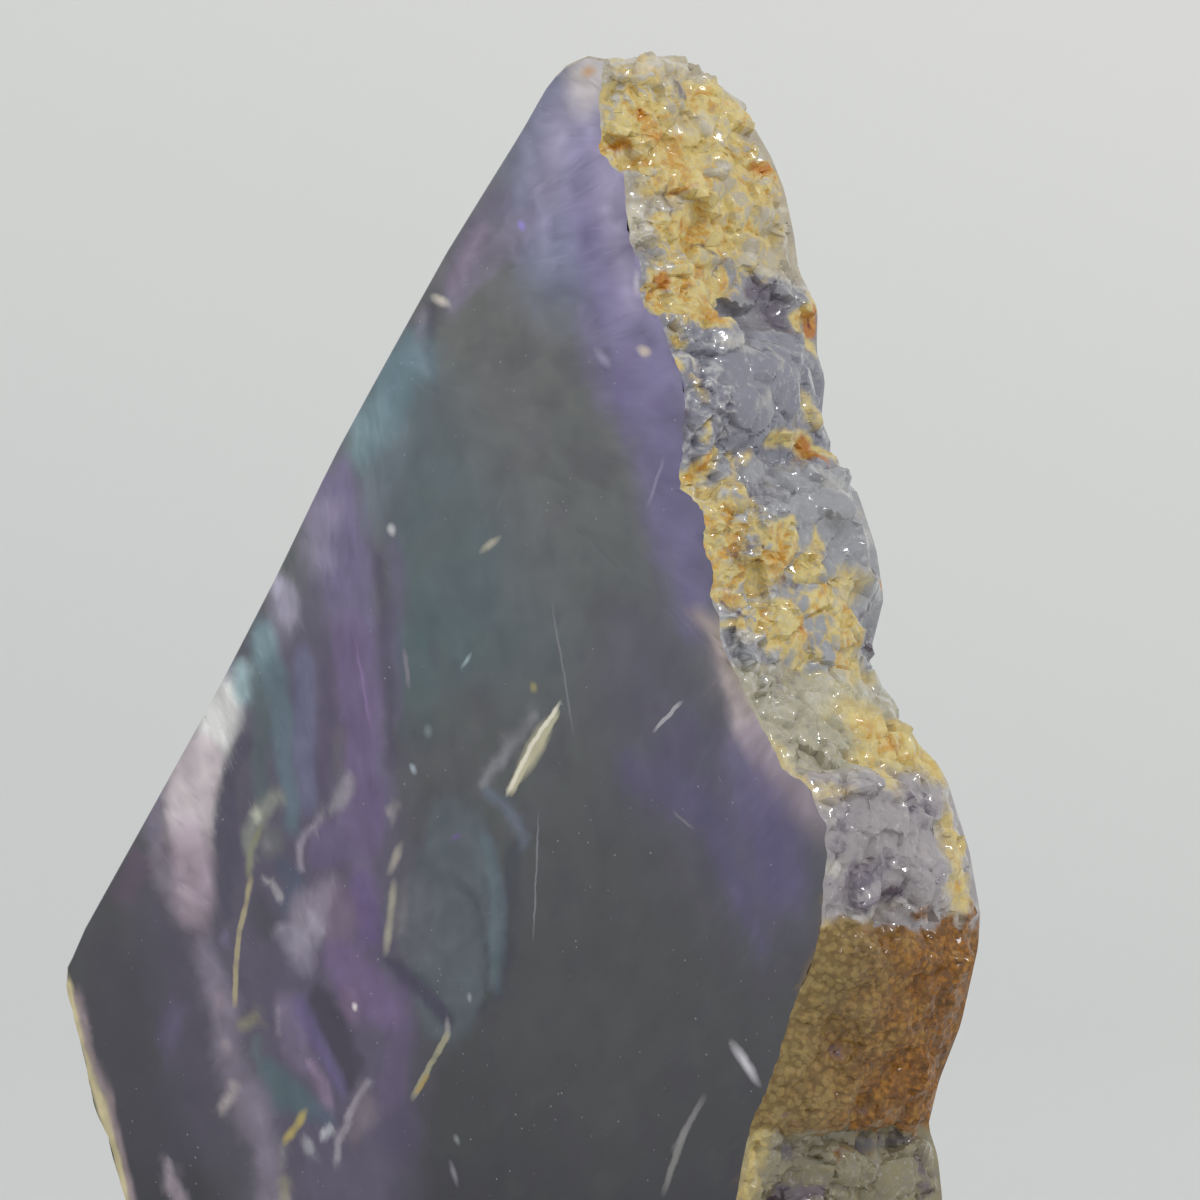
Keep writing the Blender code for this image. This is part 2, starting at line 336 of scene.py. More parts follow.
faceMarks = {
    "broad": [
        ([(17.1, 106.1), (16.1, 100.5), (14.5, 96.5)], (7, 8, 6), 4.5, (120, 124, 148), 0.8),
        ([(14.5, 105.3), (12.9, 99.7), (10.8, 97.1)], (3, 4, 2.4), 3, (128, 123, 148), 0.7),
        ([(16.1, 109.1), (15.5, 106.5)], (2.6, 1.7), 1.6, (176, 169, 168), 0.95),
        ([(13.6, 105.3), (12.5, 102.9), (11.5, 100.6)], (1.8, 2, 1.6), 2.2, (148, 143, 162), 0.6),
        ([(18.4, 101.3), (19.4, 95.7), (20.4, 91.0), (22.3, 84.6)],
         (4.6, 4.8, 4.4, 3.6), 2.6, (128, 122, 150), 0.9),
        ([(22.3, 84.6), (23.6, 79.9), (24.6, 75.2), (26.4, 69.7), (27.5, 65.4)],
         (3.6, 3, 2.6, 2, 1), 2.6, (114, 108, 136), 0.9),
        ([(17.6, 103.5), (18.6, 98.5), (20.2, 91.5)], (1.5, 1.6, 1.2), 1.8, (150, 142, 163), 0.6),
        ([(15.6, 96.1), (17.1, 89.3), (19.4, 83.0)], (1.6, 2, 1.4), 2, (104, 97, 128), 0.5),
        ([(6.6, 98.8), (3.3, 95.2), (0.8, 91.9)], (1.3, 1.5, 1), 1.2, (104, 98, 116), 0.7),
        ([(5.1, 96.2), (2.5, 93.8), (0.9, 92.1)], (0.6, 0.8, 0.6), 0.9, (138, 126, 144), 0.6),
        ([(9.5, 97.6), (6.6, 94.8), (1.4, 90.8)], (0.8, 1.3, 1), 0.5, (120, 113, 130), 0.6),
        ([(-1.9, 89.1), (-1.8, 85.1)], (0.7, 0.4), 0.6, (126, 122, 136), 0.6),
        ([(-0.9, 90.1), (-0.9, 83.8)], (0.5, 0.3), 0.5, (76, 74, 84), 0.6),
        ([(-2.8, 85.7), (-4.7, 84.2), (-6.1, 81.5)], (2.2, 2.8, 2), 2, (104, 124, 134), 0.8),
        ([(-7.2, 80.8), (-8.5, 78.1)], (1.8, 1.4), 1.6, (120, 142, 148), 0.75),
        ([(-1.0, 80.8), (3.3, 72.8), (8.7, 63.3)], (4, 5, 4), 4, (92, 101, 105), 0.5),
        ([(-4.5, 79.1), (-7.4, 73.6)], (1.4, 1.8), 1.8, (104, 112, 120), 0.6),
        ([(-11.4, 74.6), (-10.4, 69.0), (-9.3, 62.9), (-8.4, 55.0), (-7.1, 49.2)],
         (2.6, 3, 2.6, 2.2, 1.8), 1.5, (112, 104, 130), 0.9),
        ([(-13.0, 73.0), (-13.5, 68.8)], (1.6, 1.4), 1.4, (136, 130, 148), 0.7),
        ([(-4.6, 70.4), (-5.6, 62.6), (-4.7, 56.0)], (0.8, 0.9, 0.5), 0.8, (100, 94, 116), 0.6),
        ([(-6.7, 69.1), (-6.2, 60.9), (-5.3, 52.6)], (0.5, 0.6, 0.5), 0.6, (82, 78, 90), 0.6),
        ([(-17.2, 65.8), (-17.8, 63.1)], (1.4, 1.2), 1.2, (168, 164, 178), 0.8),
        ([(2.0, 46.0), (1.3, 39.1), (0.4, 33.5)], (3.6, 5.4, 3.4), 0.8, (92, 98, 103), 0.85),
        ([(7.9, 46.1), (8.1, 40.4), (6.0, 33.7)], (0.8, 1, 0.7), 0.5, (76, 78, 84), 0.7),
        ([(5.0, 46.9), (6.6, 41.9), (5.6, 34.9)], (0.7, 0.9, 0.6), 0.5, (98, 109, 117), 0.65),
        ([(-2.2, 42.1), (-2.4, 37.1)], (1.6, 1.8), 1.2, (104, 102, 108), 0.4),
        ([(1.3, 43.8), (4.1, 41.9), (5.2, 37.3), (4.5, 32.7)],
         (0.2, 0.3, 0.35, 0.2), 0.35, (75, 79, 83), 0.55),
        ([(-5.8, 36.2), (-2.2, 34.6), (0.7, 31.9)], (0.4, 0.5, 0.4), 0.45, (78, 80, 86), 0.7),
        ([(20.6, 53.3), (26.5, 51.4), (28.7, 49.1), (31.1, 45.2), (33.8, 40.4)],
         (1.4, 1.8, 1.3, 0.8, 0.5), 1.4, (98, 92, 124), 0.55),
        ([(34.6, 50.7), (35.6, 46.3)], (3.2, 2.8), 2.4, (98, 92, 118), 0.8),
        ([(31.3, 55.3), (33.8, 52.6)], (2.4, 3), 2.5, (104, 98, 122), 0.7),
        ([(26.4, 56.3), (22.3, 51.9)], 2.2, 2.5, (92, 88, 108), 0.6),
        ([(31.7, 59.6), (34.0, 56.8)], (1.2, 1.4), 1.5, (150, 138, 148), 0.7),
        ([(29.7, 62.4), (31.9, 58.4)], (0.5, 0.6), 0.8, (166, 156, 148), 0.6),
        ([(20.3, 44.5), (17.1, 29.7)], 8, 6, (84, 84, 85), 0.5),
        ([(6.5, 81.0), (10.8, 69.8)], (3.5, 3), 4, (103, 103, 106), 0.35),
        ([(-15.5, 57.1), (-15.6, 43.6), (-16.8, 31.8), (-12.3, 19.5)],
         (7.7, 8.3, 7.7, 6.6), 4.9, (94, 89, 103), 0.85),
        ([(-30.6, 39.2), (-28.3, 30.8), (-27.2, 20.6)], (4.4, 4.4, 3.3), 3.3, (88, 84, 96), 0.7),
        ([(-37.8, 33.5), (-36.6, 26.6), (-33.1, 18.3)], (2.4, 2.8, 2.8), 2.2, (80, 78, 85), 0.7),
        ([(-19.8, 62.2), (-19.2, 60.0)], (1.2, 1.3), 0.87, (118, 139, 145), 0.8),
        ([(-17.3, 66.3), (-16.9, 64.2)], 1.1, 0.87, (158, 153, 170), 0.85),
        ([(-31.1, 48.5), (-32.0, 45.0)], 1.5, 1.1, (128, 120, 138), 0.6),
        ([(-34.7, 42.3), (-35.9, 39.6)], (1.3, 1.1), 1.1, (98, 86, 100), 0.6),
        ([(-23.5, 57.0), (-25.4, 54.1)], (1.4, 2.1), 1.1, (200, 199, 197), 0.95),
        ([(-27.0, 51.3), (-28.2, 47.9), (-28.5, 45.3)], (2.4, 2.9, 2.6), 0.87, (180, 170, 174), 0.95),
        ([(-28.3, 43.6), (-28.2, 41.0), (-27.7, 39.2)], (2.6, 2.4, 1.9), 1.1, (152, 138, 148), 0.9),
        ([(-32.0, 42.7), (-31.8, 40.8)], (0.99, 0.88), 0.87, (128, 121, 130), 0.75),
        ([(-25.8, 59.9), (-24.5, 59.1)], (0.66, 0.88), 0.76, (168, 164, 176), 0.6),
        ([(-21.8, 59.4), (-21.8, 57.7)], (0.99, 1.1), 0.76, (142, 162, 166), 0.8),
        ([(-19.9, 58.5), (-19.9, 53.5), (-19.9, 48.4)], (1.1, 1.1, 0.88), 0.87, (90, 100, 103), 0.8),
        ([(-18.4, 59.4), (-17.3, 53.6), (-16.7, 46.9)], (1.3, 1.3, 0.88), 0.76, (96, 109, 118), 0.85),
        ([(-15.2, 60.4), (-14.7, 52.9), (-15.0, 48.7)], (1.2, 1.3, 0.88), 0.66, (105, 105, 126), 0.8),
        ([(-21.7, 52.9), (-23.8, 50.3), (-24.3, 45.6), (-24.3, 41.3), (-24.1, 38.4)],
         (0.99, 0.88, 0.99, 0.88, 0.66), 0.38, (85, 83, 94), 0.85),
        ([(-12.4, 59.7), (-12.7, 53.9), (-13.5, 50.5)], (0.77, 0.99, 0.66), 0.55, (92, 86, 102), 0.75),
        ([(-9.9, 62.3), (-9.3, 57.4), (-8.8, 52.4), (-8.3, 46.6)],
         (2, 2, 1.8, 2.2), 0.76, (107, 96, 122), 0.85),
        ([(-11.3, 54.4), (-11.3, 51.9)], (0.55, 0.66), 0.66, (104, 100, 106), 0.6),
        ([(-19.2, 44.9)], 1.4, 0.87, (103, 105, 104), 0.7),
        ([(-21.5, 42.5), (-21.8, 44.5), (-21.1, 46.2), (-19.7, 47.4), (-18.2, 48.8)],
         (0.33, 0.5, 0.55, 0.66, 0.66), 0.49, (127, 129, 123), 0.8),
        ([(-20.6, 46.8)], 0.5, 0.44, (160, 162, 148), 0.8),
        ([(-19.5, 44.5)], 0.44, 0.55, (124, 120, 128), 0.55),
        ([(-23.4, 48.2), (-23.1, 44.0), (-22.9, 41.4)], (0.55, 0.66, 0.55), 0.44, (88, 84, 98), 0.7),
        ([(-12.8, 45.3), (-9.4, 46.4)], (2, 2.4), 0.87, (104, 95, 119), 0.85),
        ([(-10.3, 50.3), (-11.5, 49.0), (-13.5, 48.0)], (0.99, 0.66, 0.33), 0.55, (134, 130, 136), 0.75),
        ([(-13.6, 47.6), (-15.3, 46.5), (-15.7, 44.9), (-15.4, 43.1)],
         (0.29, 0.35, 0.35, 0.44), 0.31, (142, 134, 146), 0.8),
        ([(-17.3, 42.8), (-15.6, 41.5), (-17.3, 39.7)], 0.88, 0.66, (88, 92, 106), 0.8),
        ([(-20.4, 39.5), (-19.3, 37.9)], (0.99, 1.3), 0.66, (84, 83, 90), 0.8),
        ([(-19.9, 41.6), (-18.8, 41.3), (-17.9, 40.2)], (0.26, 0.33, 0.5), 0.24, (142, 138, 142), 0.85),
        ([(-8.3, 43.1)], 1.3, 0.87, (108, 100, 118), 0.6),
        ([(-8.2, 41.7), (-7.5, 38.4)], (1.5, 1.3), 0.76, (104, 92, 122), 0.85),
        ([(-11.1, 40.2), (-11.7, 38.1)], 1.8, 0.87, (113, 101, 117), 0.8),
        ([(-11.5, 42.2), (-13.6, 40.3), (-15.6, 38.8)], (0.66, 1.2, 1.4), 0.66, (126, 118, 130), 0.8),
        ([(-17.7, 37.4), (-15.9, 36.8), (-14.3, 38.3)], (0.55, 1.5, 1.3), 0.66, (140, 134, 146), 0.8),
        ([(-15.8, 35.0)], 1.1, 0.66, (128, 122, 136), 0.7),
        ([(-4.4, 34.0), (-3.9, 30.3), (-5.0, 27.6), (-5.6, 25.0)],
         (1.1, 1.1, 1.3, 1.5), 0.76, (100, 92, 112), 0.8),
        ([(-11.1, 35.6), (-8.7, 33.7), (-6.0, 32.3)], (2.1, 2.2, 1.5), 0.98, (110, 97, 125), 0.85),
        ([(-9.8, 32.3)], 1.3, 0.98, (119, 101, 121), 0.7),
        ([(-6.0, 36.2), (-3.9, 34.5), (-1.7, 33.2), (0.2, 31.9)],
         (0.33, 0.55, 0.77, 0.55), 0.38, (80, 77, 90), 0.85),
        ([(-17.4, 30.9), (-16.2, 28.9), (-15.1, 26.8)], (1.4, 1.7, 1.2), 0.76, (112, 104, 122), 0.8),
        ([(-19.3, 25.2), (-17.4, 23.9), (-15.1, 23.0)], (1.4, 1.8, 1.3), 0.76, (88, 101, 106), 0.85),
        ([(-13.4, 22.3)], 1.2, 0.87, (88, 98, 112), 0.7),
        ([(-13.8, 32.0), (-11.4, 29.7), (-9.7, 27.3), (-10.0, 25.3)],
         (1.2, 1.7, 1.3, 0.77), 0.55, (78, 75, 84), 0.9),
        ([(-15.9, 31.4), (-13.6, 28.7), (-11.8, 26.6), (-10.7, 24.7)],
         (0.77, 0.77, 0.77, 0.55), 0.55, (101, 93, 122), 0.8),
        ([(-14.0, 26.5), (-13.1, 24.9), (-12.9, 23.8)], (0.55, 0.77, 0.61), 0.55, (133, 117, 138), 0.75),
        ([(-20.5, 28.1), (-20.7, 26.7)], 0.55, 0.55, (100, 112, 114), 0.6),
        ([(-18.4, 30.8), (-18.3, 29.1)], 0.28, 0.33, (132, 124, 134), 0.6),
        ([(-26.8, 35.6), (-25.6, 33.1), (-24.6, 30.9), (-23.9, 28.4), (-23.5, 26.1),
           (-22.6, 24.0), (-21.2, 22.1), (-20.0, 20.3), (-19.4, 18.0), (-18.7, 15.1)],
         (1.1, 1.4, 1.7, 1.4, 1.7, 1.9, 1.9, 1.5, 1.4, 1.7), 0.98, (120, 113, 126), 0.85),
        ([(-24.6, 30.7)], 0.88, 0.55, (138, 128, 138), 0.7),
        ([(-23.8, 27.3)], 0.61, 0.44, (140, 132, 136), 0.7),
        ([(-23.4, 23.7), (-24.4, 22.1)], (0.61, 0.5), 0.44, (150, 142, 142), 0.8),
        ([(-22.1, 29.4), (-21.1, 30.0)], (0.55, 0.44), 0.44, (130, 127, 108), 0.7),
        ([(-24.2, 36.4)], 0.44, 0.44, (122, 114, 140), 0.6),
        ([(-30.5, 27.2), (-29.7, 29.8)], (1.4, 0.77), 0.98, (98, 92, 112), 0.7),
        ([(-31.2, 16.8), (-30.5, 14.8), (-29.5, 13.5)], (0.44, 0.88, 0.77), 0.55, (142, 132, 140), 0.85),
        ([(-17.7, 16.6), (-17.5, 14.9)], (0.55, 0.66), 0.44, (140, 136, 118), 0.7),
        ([(-14.9, 19.4)], 0.5, 0.33, (146, 146, 152), 0.75),
        ([(-12.6, 21.3), (-13.4, 20.6)], (0.44, 0.39), 0.27, (158, 158, 164), 0.8),
        ([(-4.5, 21.5)], 2.2, 1.5, (87, 81, 98), 0.7),
        ([(-8.1, 23.5), (-9.4, 21.5)], (1.2, 0.99), 0.76, (113, 105, 113), 0.8),
        ([(-7.9, 25.8), (-9.4, 23.7), (-10.5, 21.9), (-11.4, 20.3)],
         (0.24, 0.31, 0.5, 0.5), 0.28, (142, 136, 144), 0.85),
        ([(-11.4, 19.6), (-11.4, 18.7)], (0.44, 0.33), 0.33, (142, 140, 144), 0.8),
        ([(-4.2, 41.9), (-4.4, 39.3)], (0.66, 0.88), 0.55, (108, 106, 108), 0.6),
        ([(-5.5, 48.6), (-4.7, 49.2)], (0.44, 0.5), 0.31, (138, 134, 136), 0.8),
        ([(-17.5, 19.6), (-18.2, 17.9)], (0.39, 0.33), 0.44, (126, 124, 126), 0.6),
        ([(5.3, 50.9), (7.2, 49.8), (8.4, 47.9), (8.9, 46.2)],
         (0.4, 0.5, 0.5, 0.3), 0.5, (104, 112, 126), 0.65),
        ([(10.0, 57.2), (7.7, 54.8), (6.0, 53.1), (4.8, 51.6)],
         (0.25, 0.35, 0.3, 0.35), 0.5, (132, 131, 136), 0.7),
    ],
    "fine": [
        ((12.6, 57.8), (10.6, 55.0), 0.34, 0.5, (170, 165, 142), 0.9),
        ((11.6, 56.6), (8.7, 52.4), 0.62, 0.45, (170, 165, 142), 0.92),
        ((9.6, 54.0), (7.5, 50.8), 0.36, 0.5, (176, 170, 146), 0.92),
        ((12.8, 58.2), (9.6, 54.6), 0.15, 0.6, (206, 201, 186), 0.85),
        ((9.9, 54.9), (7.4, 50.8), 0.17, 0.6, (206, 201, 186), 0.85),
        ((-19.9, 46.4), (-21.2, 44.1), (-21.5, 41.7), 0.27, 0.6, (132, 131, 106), 0.6),
        ((-21.2, 41.7), (-21.8, 39.4), (-22.6, 37.0), (-22.9, 34.5), (-23.1, 30.9),
         0.25, 0.6, (158, 148, 122), 0.85),
        ((-4.4, 45.6), (-5.5, 43.5), 0.32, 0.6, (152, 146, 138), 0.8),
        ((-5.1, 42.4), (-5.5, 39.5), (-6.0, 36.8), 0.32, 0.6, (152, 148, 134), 0.8),
        ((0.8, 31.7), (0.8, 30.1), 0.21, 0.6, (140, 138, 138), 0.8),
        ((0.9, 30.6), (-0.5, 28.6), (-3.0, 24.9), 0.23, 0.6, (150, 146, 126), 0.85),
        ((-1.3, 26.9), (-2.7, 25.3), 0.17, 0.6, (156, 136, 88), 0.7),
        ((-15.1, 22.6), (-16.2, 21.1), (-17.5, 19.7), 0.3, 0.6, (166, 151, 100), 0.85),
        ((12.2, 65.8), (14.2, 56.7), 0.09, 0.6, (124, 123, 126), 0.6),
        ((25.5, 59.1), (22.8, 56.8), 0.14, 0.5, (158, 155, 158), 0.85),
        ((10.6, 48.7), (10.1, 39.6), 0.08, 0.6, (126, 126, 131), 0.7),
        ((31.1, 32.0), (33.2, 29.7), 0.33, 0.7, (190, 187, 192), 0.85),
        ((27.7, 27.5), (25.0, 23.5), 0.22, 0.8, (132, 129, 130), 0.7),
        ((25.9, 24.9), (23.9, 20.0), 0.23, 0.8, (136, 134, 132), 0.7),
        ((-0.6, 90.9), (1.0, 90.3), 0.29, 0.7, (190, 182, 172), 0.8),
        ((8.5, 96.7), (9.2, 96.9), 0.3, 0.7, (136, 126, 190), 0.85),
        ((15.3, 109.0), (16.5, 109.3), 0.3, 0.8, (178, 134, 84), 0.7),
        ((20.9, 93.2), (21.0, 91.6), 0.23, 0.7, (176, 170, 178), 0.7),
        ((21.1, 87.1), (22.3, 86.8), 0.28, 0.6, (184, 171, 160), 0.85),
        ((16.9, 86.8), (18.0, 85.8), 0.28, 0.8, (142, 138, 158), 0.7),
        ((23.6, 78.2), (22.2, 74.9), 0.13, 0.8, (134, 131, 150), 0.6),
        ((-5.5, 72.1), (-5.1, 71.3), 0.3, 0.6, (172, 172, 174), 0.85),
        ((4.7, 70.4), (6.3, 71.4), 0.2, 0.7, (162, 156, 140), 0.8),
        ((9.8, 59.6), (10.4, 59.4), 0.25, 0.8, (152, 142, 100), 0.7),
        ((2.5, 60.9), (3.3, 61.8), 0.13, 0.7, (150, 165, 168), 0.7),
        ((-1.4, 55.7), (-1.2, 54.9), 0.28, 0.9, (124, 136, 138), 0.6),
        ((-3.2, 52.4), (-2.7, 51.8), 0.22, 0.7, (152, 162, 170), 0.8),
        ((-3.9, 61.8), (-3.4, 59.0), 0.2, 0.8, (130, 124, 134), 0.6),
        ((-9.7, 31.9), (-9.2, 31.8), 0.22, 0.8, (205, 196, 198), 0.9),
        ((24.9, 50.3), (26.7, 49.2), 0.1, 0.7, (122, 120, 124), 0.6),
        ((1.3, 46.6), (2.2, 47.0), 0.17, 0.8, (112, 92, 140), 0.6),
        ((3.1, 33.9), (3.3, 33.4), 0.15, 0.9, (150, 152, 156), 0.7),
        ((1.6, 22.1), (1.9, 21.5), 0.17, 0.9, (146, 150, 150), 0.6),
        ((1.2, 19.7), (1.7, 18.3), 0.18, 0.9, (150, 146, 154), 0.6),
        ((-9.1, 61.6), (-7.7, 55.7), 0.12, 0.8, (132, 112, 146), 0.55),
    ],
}
faceZones = [    # wide and soft, under the rest
    ([(-12.0, 62.0), (-10.0, 45.0), (-9.0, 32.0), (-10.0, 18.0)],
     (3.5, 6.0, 6.5, 6.0), 4.0, (99, 94, 110), 0.8),
    ([(-24.0, 42.0), (-22.0, 26.0), (-20.0, 14.0)], (3.5, 4.0, 4.0), 3.5, (94, 92, 100), 0.7),
    ([(-8.0, 76.0), (-12.0, 60.0)], (3.0, 4.0), 3.0, (98, 98, 108), 0.6),
    ([(21.0, 62.0), (27.0, 50.0), (35.0, 44.0)], (4.0, 6.0, 4.5), 4.5, (92, 90, 102), 0.7),
]
faceEdges = [    # along the skin and the crust, as the broad marks
    ([(-42.6, 30.9), (-41.8, 28.8), (-40.3, 24.6), (-38.4, 19.6), (-36.1, 13.3), (-34.0, 4.0), (-33.5, 0.0)],
     (0.5, 0.55, 0.6, 0.6, 0.6, 0.6, 0.6), 0.35, (182, 171, 138), 0.9),
    ([(-41.3, 30.2), (-40.6, 28.3), (-39.2, 24.3), (-37.3, 19.3), (-35.0, 13.0)],
     (0.4, 0.5, 0.5, 0.4, 0.4), 0.5, (158, 142, 146), 0.6),
    ([(23.4, 79.0), (25.4, 72.5), (27.0, 66.0)], (2.6, 2.6, 1.6), 2.0, (104, 99, 124), 0.8),
    ([(29.9, 63.5), (32.8, 60.1), (34.6, 57.5), (37.1, 54.1), (39.3, 51.3)],
     (1.6, 2.2, 2.2, 1.8, 1.4), 2.0, (148, 136, 143), 0.7),
    ([(27.5, 65.8), (29.7, 64.3), (31.3, 62.1), (32.7, 59.7)],
     (0.6, 0.9, 0.9, 0.6), 1.2, (164, 151, 132), 0.55),
    ([(40.4, 44.4), (39.6, 40.4), (38.2, 36.3), (36.6, 31.4), (34.7, 27.3), (33.1, 24.0), (32.0, 19.0)],
     (0.3, 0.3, 0.4, 0.4, 0.4, 0.4, 0.4), 0.5, (136, 112, 78), 0.55),
]
stone = {
    # core tone by height in mm: the stone's dark colour, made lighter towards the top as a painted reflection
    "coreWithPaintedReflection": [(14.0, (73, 73, 76)), (24.0, (78, 78, 80)), (40.0, (86, 86, 88)), (52.0, (91, 92, 94)),
             (70.0, (97, 99, 100)), (88.0, (101, 102, 102)), (104.0, (104, 104, 106))],
    "teal": (84, 100, 104), "tealWhere": [((-4.0, 78.0), 8.0), ((2.0, 66.0), 9.0), ((-2.0, 60.0), 6.0)],
    "green": (92, 98, 90),
    "deep": (78, 76, 84),
    "veil": [(20.0, 0.036), (60.0, 0.043), (100.0, 0.052)], "light": 0.64,   # what the room adds and gives
    "leanX": 0.12, "leanZ": -0.07,       # how the bands shift with depth in the slab
    "tealShare": 0.55, "greenShare": 0.12, "deepShare": 0.3,
    "agateCentre": (1.0, 40.0), "agateRadii": (6.4, 9.0), "agateRings": 4.2, "agateDepth": 0.05,
    "mottle": 0.20, "mottleSize": 3.0, "speckle": 0.10, "speckleSize": 0.9,      # sizes in mm
    "fibre": 0.09, "fibreSize": 1.2, "ragged": 0.4, "raggedSize": 1.6,
    "fineDetail": 0.3, "growth": 2.0,    # mm: the shortest edges, and how fast they lengthen away from a mark
    "dust": (150, 150, 152), "dustShare": 0.6, "cloudSize": 6.0, "smearSize": 14.0,
    "polish": 0.16, "smeared": 0.12, "sawn": 0.25,       # roughness: the polish, and what is added
    "refraction": 1.434, "rippleDepth": 0.2,             # mm
}


def onStone(points):
    depth = points[:, 1] - faceY
    return np.column_stack([points[:, 0] + depth * stone["leanX"], points[:, 2] + depth * stone["leanZ"]])


def markSpots(points):
    # where each point falls among the marks, its outlines made a little irregular
    flat = onStone(points)
    solid = np.column_stack([flat[:, 0], np.zeros(len(flat)), flat[:, 1]])
    broad = pushed(pushed(solid, 5.0, 0.7), 1.4, 0.28, 4.0)
    return solid, broad[:, [0, 2]]


def paintStone(points):
    # the base colour of the banded stone at each point
    solid, broad = markSpots(points)
    flat = solid[:, [0, 2]]
    heights = [height for height, tone in stone["coreWithPaintedReflection"]]
    tones = np.array([linearTone(tone) for height, tone in stone["coreWithPaintedReflection"]])
    # the core tone by height; its lightening towards the top is a painted reflection
    colour = np.column_stack([np.interp(flat[:, 1], heights, tones[:, part]) for part in range(3)])
    drift = cloud(solid, 7.0, 3.0)
    for centre, reach in stone["tealWhere"]:
        away = np.linalg.norm(flat - np.array(centre), axis=1) / reach
        colour = lay(colour, smoothStep(1.0, 0.2, away + 0.4 * drift) * stone["tealShare"],
                     linearTone(stone["teal"]))
    green = smoothStep(0.1, 0.5, cloud(solid, 5.0, 9.0)) * smoothStep(-12.0, 0.0, flat[:, 0])
    colour = lay(colour, green * stone["greenShare"], linearTone(stone["green"]))
    deep = smoothStep(0.05, 0.5, cloud(solid, 4.0, 17.0))
    colour = lay(colour, deep * stone["deepShare"], linearTone(stone["deep"]))
    ragged = cloud(solid, stone["raggedSize"], 6.0, 4, (1.0, 1.0, 0.45))
    for marked, widths, soft, tone, strength in faceZones + faceMarks["broad"] + faceEdges:
        gap = strokeGap(broad, marked, widths) + ragged * min(soft, 1.8) * stone["ragged"]
        colour = lay(colour, smoothStep(soft, -soft, gap) * strength, linearTone(tone))
    # faint growth rings in the green lens
    centre, radii = np.array(stone["agateCentre"]), np.array(stone["agateRadii"])
    radius = np.linalg.norm((broad - centre) / radii, axis=1) + 0.12 * cloud(solid, 3.0, 1.0)
    rings = np.sin(radius * math.tau * stone["agateRings"]) * smoothStep(1.1, 0.9, radius)
    colour = colour * (1.0 + stone["agateDepth"] * rings)[:, None]
    # mottling, stronger where the stone is lighter than the core
    mottle = cloud(solid, stone["mottleSize"], 11.0, 4) * stone["mottle"]
    mottle = mottle + cloud(solid, stone["speckleSize"], 5.0, 2) * stone["speckle"]
    leaning = np.column_stack([solid[:, 0] + 0.3 * solid[:, 2], solid[:, 1], solid[:, 2] * 0.14])
    mottle = mottle + cloud(leaning, stone["fibreSize"], 8.0, 3) * stone["fibre"]
    colour = colour * (1.0 + 1.6 * mottle * smoothStep(0.02, 0.3, colour.mean(axis=1)))[:, None]
    veil = np.interp(flat[:, 1], *zip(*stone["veil"]))[:, None]
    return np.clip((colour - veil) / stone["light"], 0.004, 0.95)


def wantedOnFace(middles):
    # the length that the face's edges may have at each place: short beside narrow marks
    flat = onStone(middles)
    wanted = np.full(len(flat), slab["longest"]["front"])
    for points, widths, soft, tone, strength in faceMarks["broad"] + faceEdges:
        narrow = min(soft, max(widthsOf(points, widths)))
        if narrow < 0.9:
            detail = stone["fineDetail"] + 1.3 * narrow
            gap = np.abs(strokeGap(flat, points, widths)) - soft
            wanted = np.minimum(wanted, detail + stone["growth"] * np.maximum(gap, 0.0))
    return wanted


def makeFaceMaterial():
    recipe = Recipe("polishedFluorite")
    place = recipe.place()
    colour, sawn = recipe.attribute("stone")
    depth = recipe.vector("DOT_PRODUCT", place, (0.0, 1.0, 0.0)) - faceY
    shift = recipe.node("VectorMath", {"operation": "SCALE"},
                        {0: (stone["leanX"], 0.0, stone["leanZ"]), "Scale": depth})
    flat = recipe.vector("ADD", shift, place)
    crooked = recipe.warped(flat, 1.1, 0.16, 2.0)
    faceLight = (stone["veil"][1][1], stone["light"])
    for *ends, width, soft, tone, strength in faceMarks["fine"]:
        for start, end in zip(ends, ends[1:]):
            share = recipe.sliver(crooked, start, end, width, soft, strength)
            colour = recipe.mix(share, colour, seen(*tone, *faceLight))
    growth = recipe.grain(place, 0.5, 5.0, 0.7, (1.0, 0.4, 0.35))
    lively = recipe.mix(0.5, colour, (0.55, 0.54, 0.6), "OVERLAY")
    colour = recipe.mix(growth.rise(0.3, 0.75) * 0.3, colour, lively)
    pricks = recipe.node("TexVoronoi", {"feature": "F1"}, {
        "Vector": recipe.vector("MULTIPLY", place, (0.9, 0.9, 0.9)), "Scale": 1.0})
    clouds = recipe.grain(place, stone["cloudSize"], 3.0, 0.6, offset=4.0)
    dusted = pricks.rise(0.10, 0.05) * clouds.rise(0.44, 0.62) * stone["dustShare"]
    colour = recipe.mix(dusted, colour, seen(*stone["dust"], *faceLight))
    recipe.feed(recipe.shader.inputs["Base Color"], colour)
    smears = recipe.grain(place, stone["smearSize"], 4.0, 0.6, offset=9.0)
    dullness = stone["polish"] + smears * stone["smeared"] + sawn * stone["sawn"]
    recipe.feed(recipe.shader.inputs["Roughness"], dullness)
    recipe.shader.inputs["IOR"].default_value = stone["refraction"]
    saw = recipe.grain(place, 0.25, 2.0, 0.5, (0.12, 1.0, 1.0))
    ripple = recipe.grain(place, 7.0, 2.0) * 0.1 + saw * sawn * 0.4
    bump = recipe.node("Bump", {}, {"Height": ripple, "Strength": 0.2, "Distance": stone["rippleDepth"] * mm})
    recipe.feed(recipe.shader.inputs["Normal"], bump)
    return recipe.material


# The crust: marks (y, z) in mm across and up it, half width at each point or all along, strength

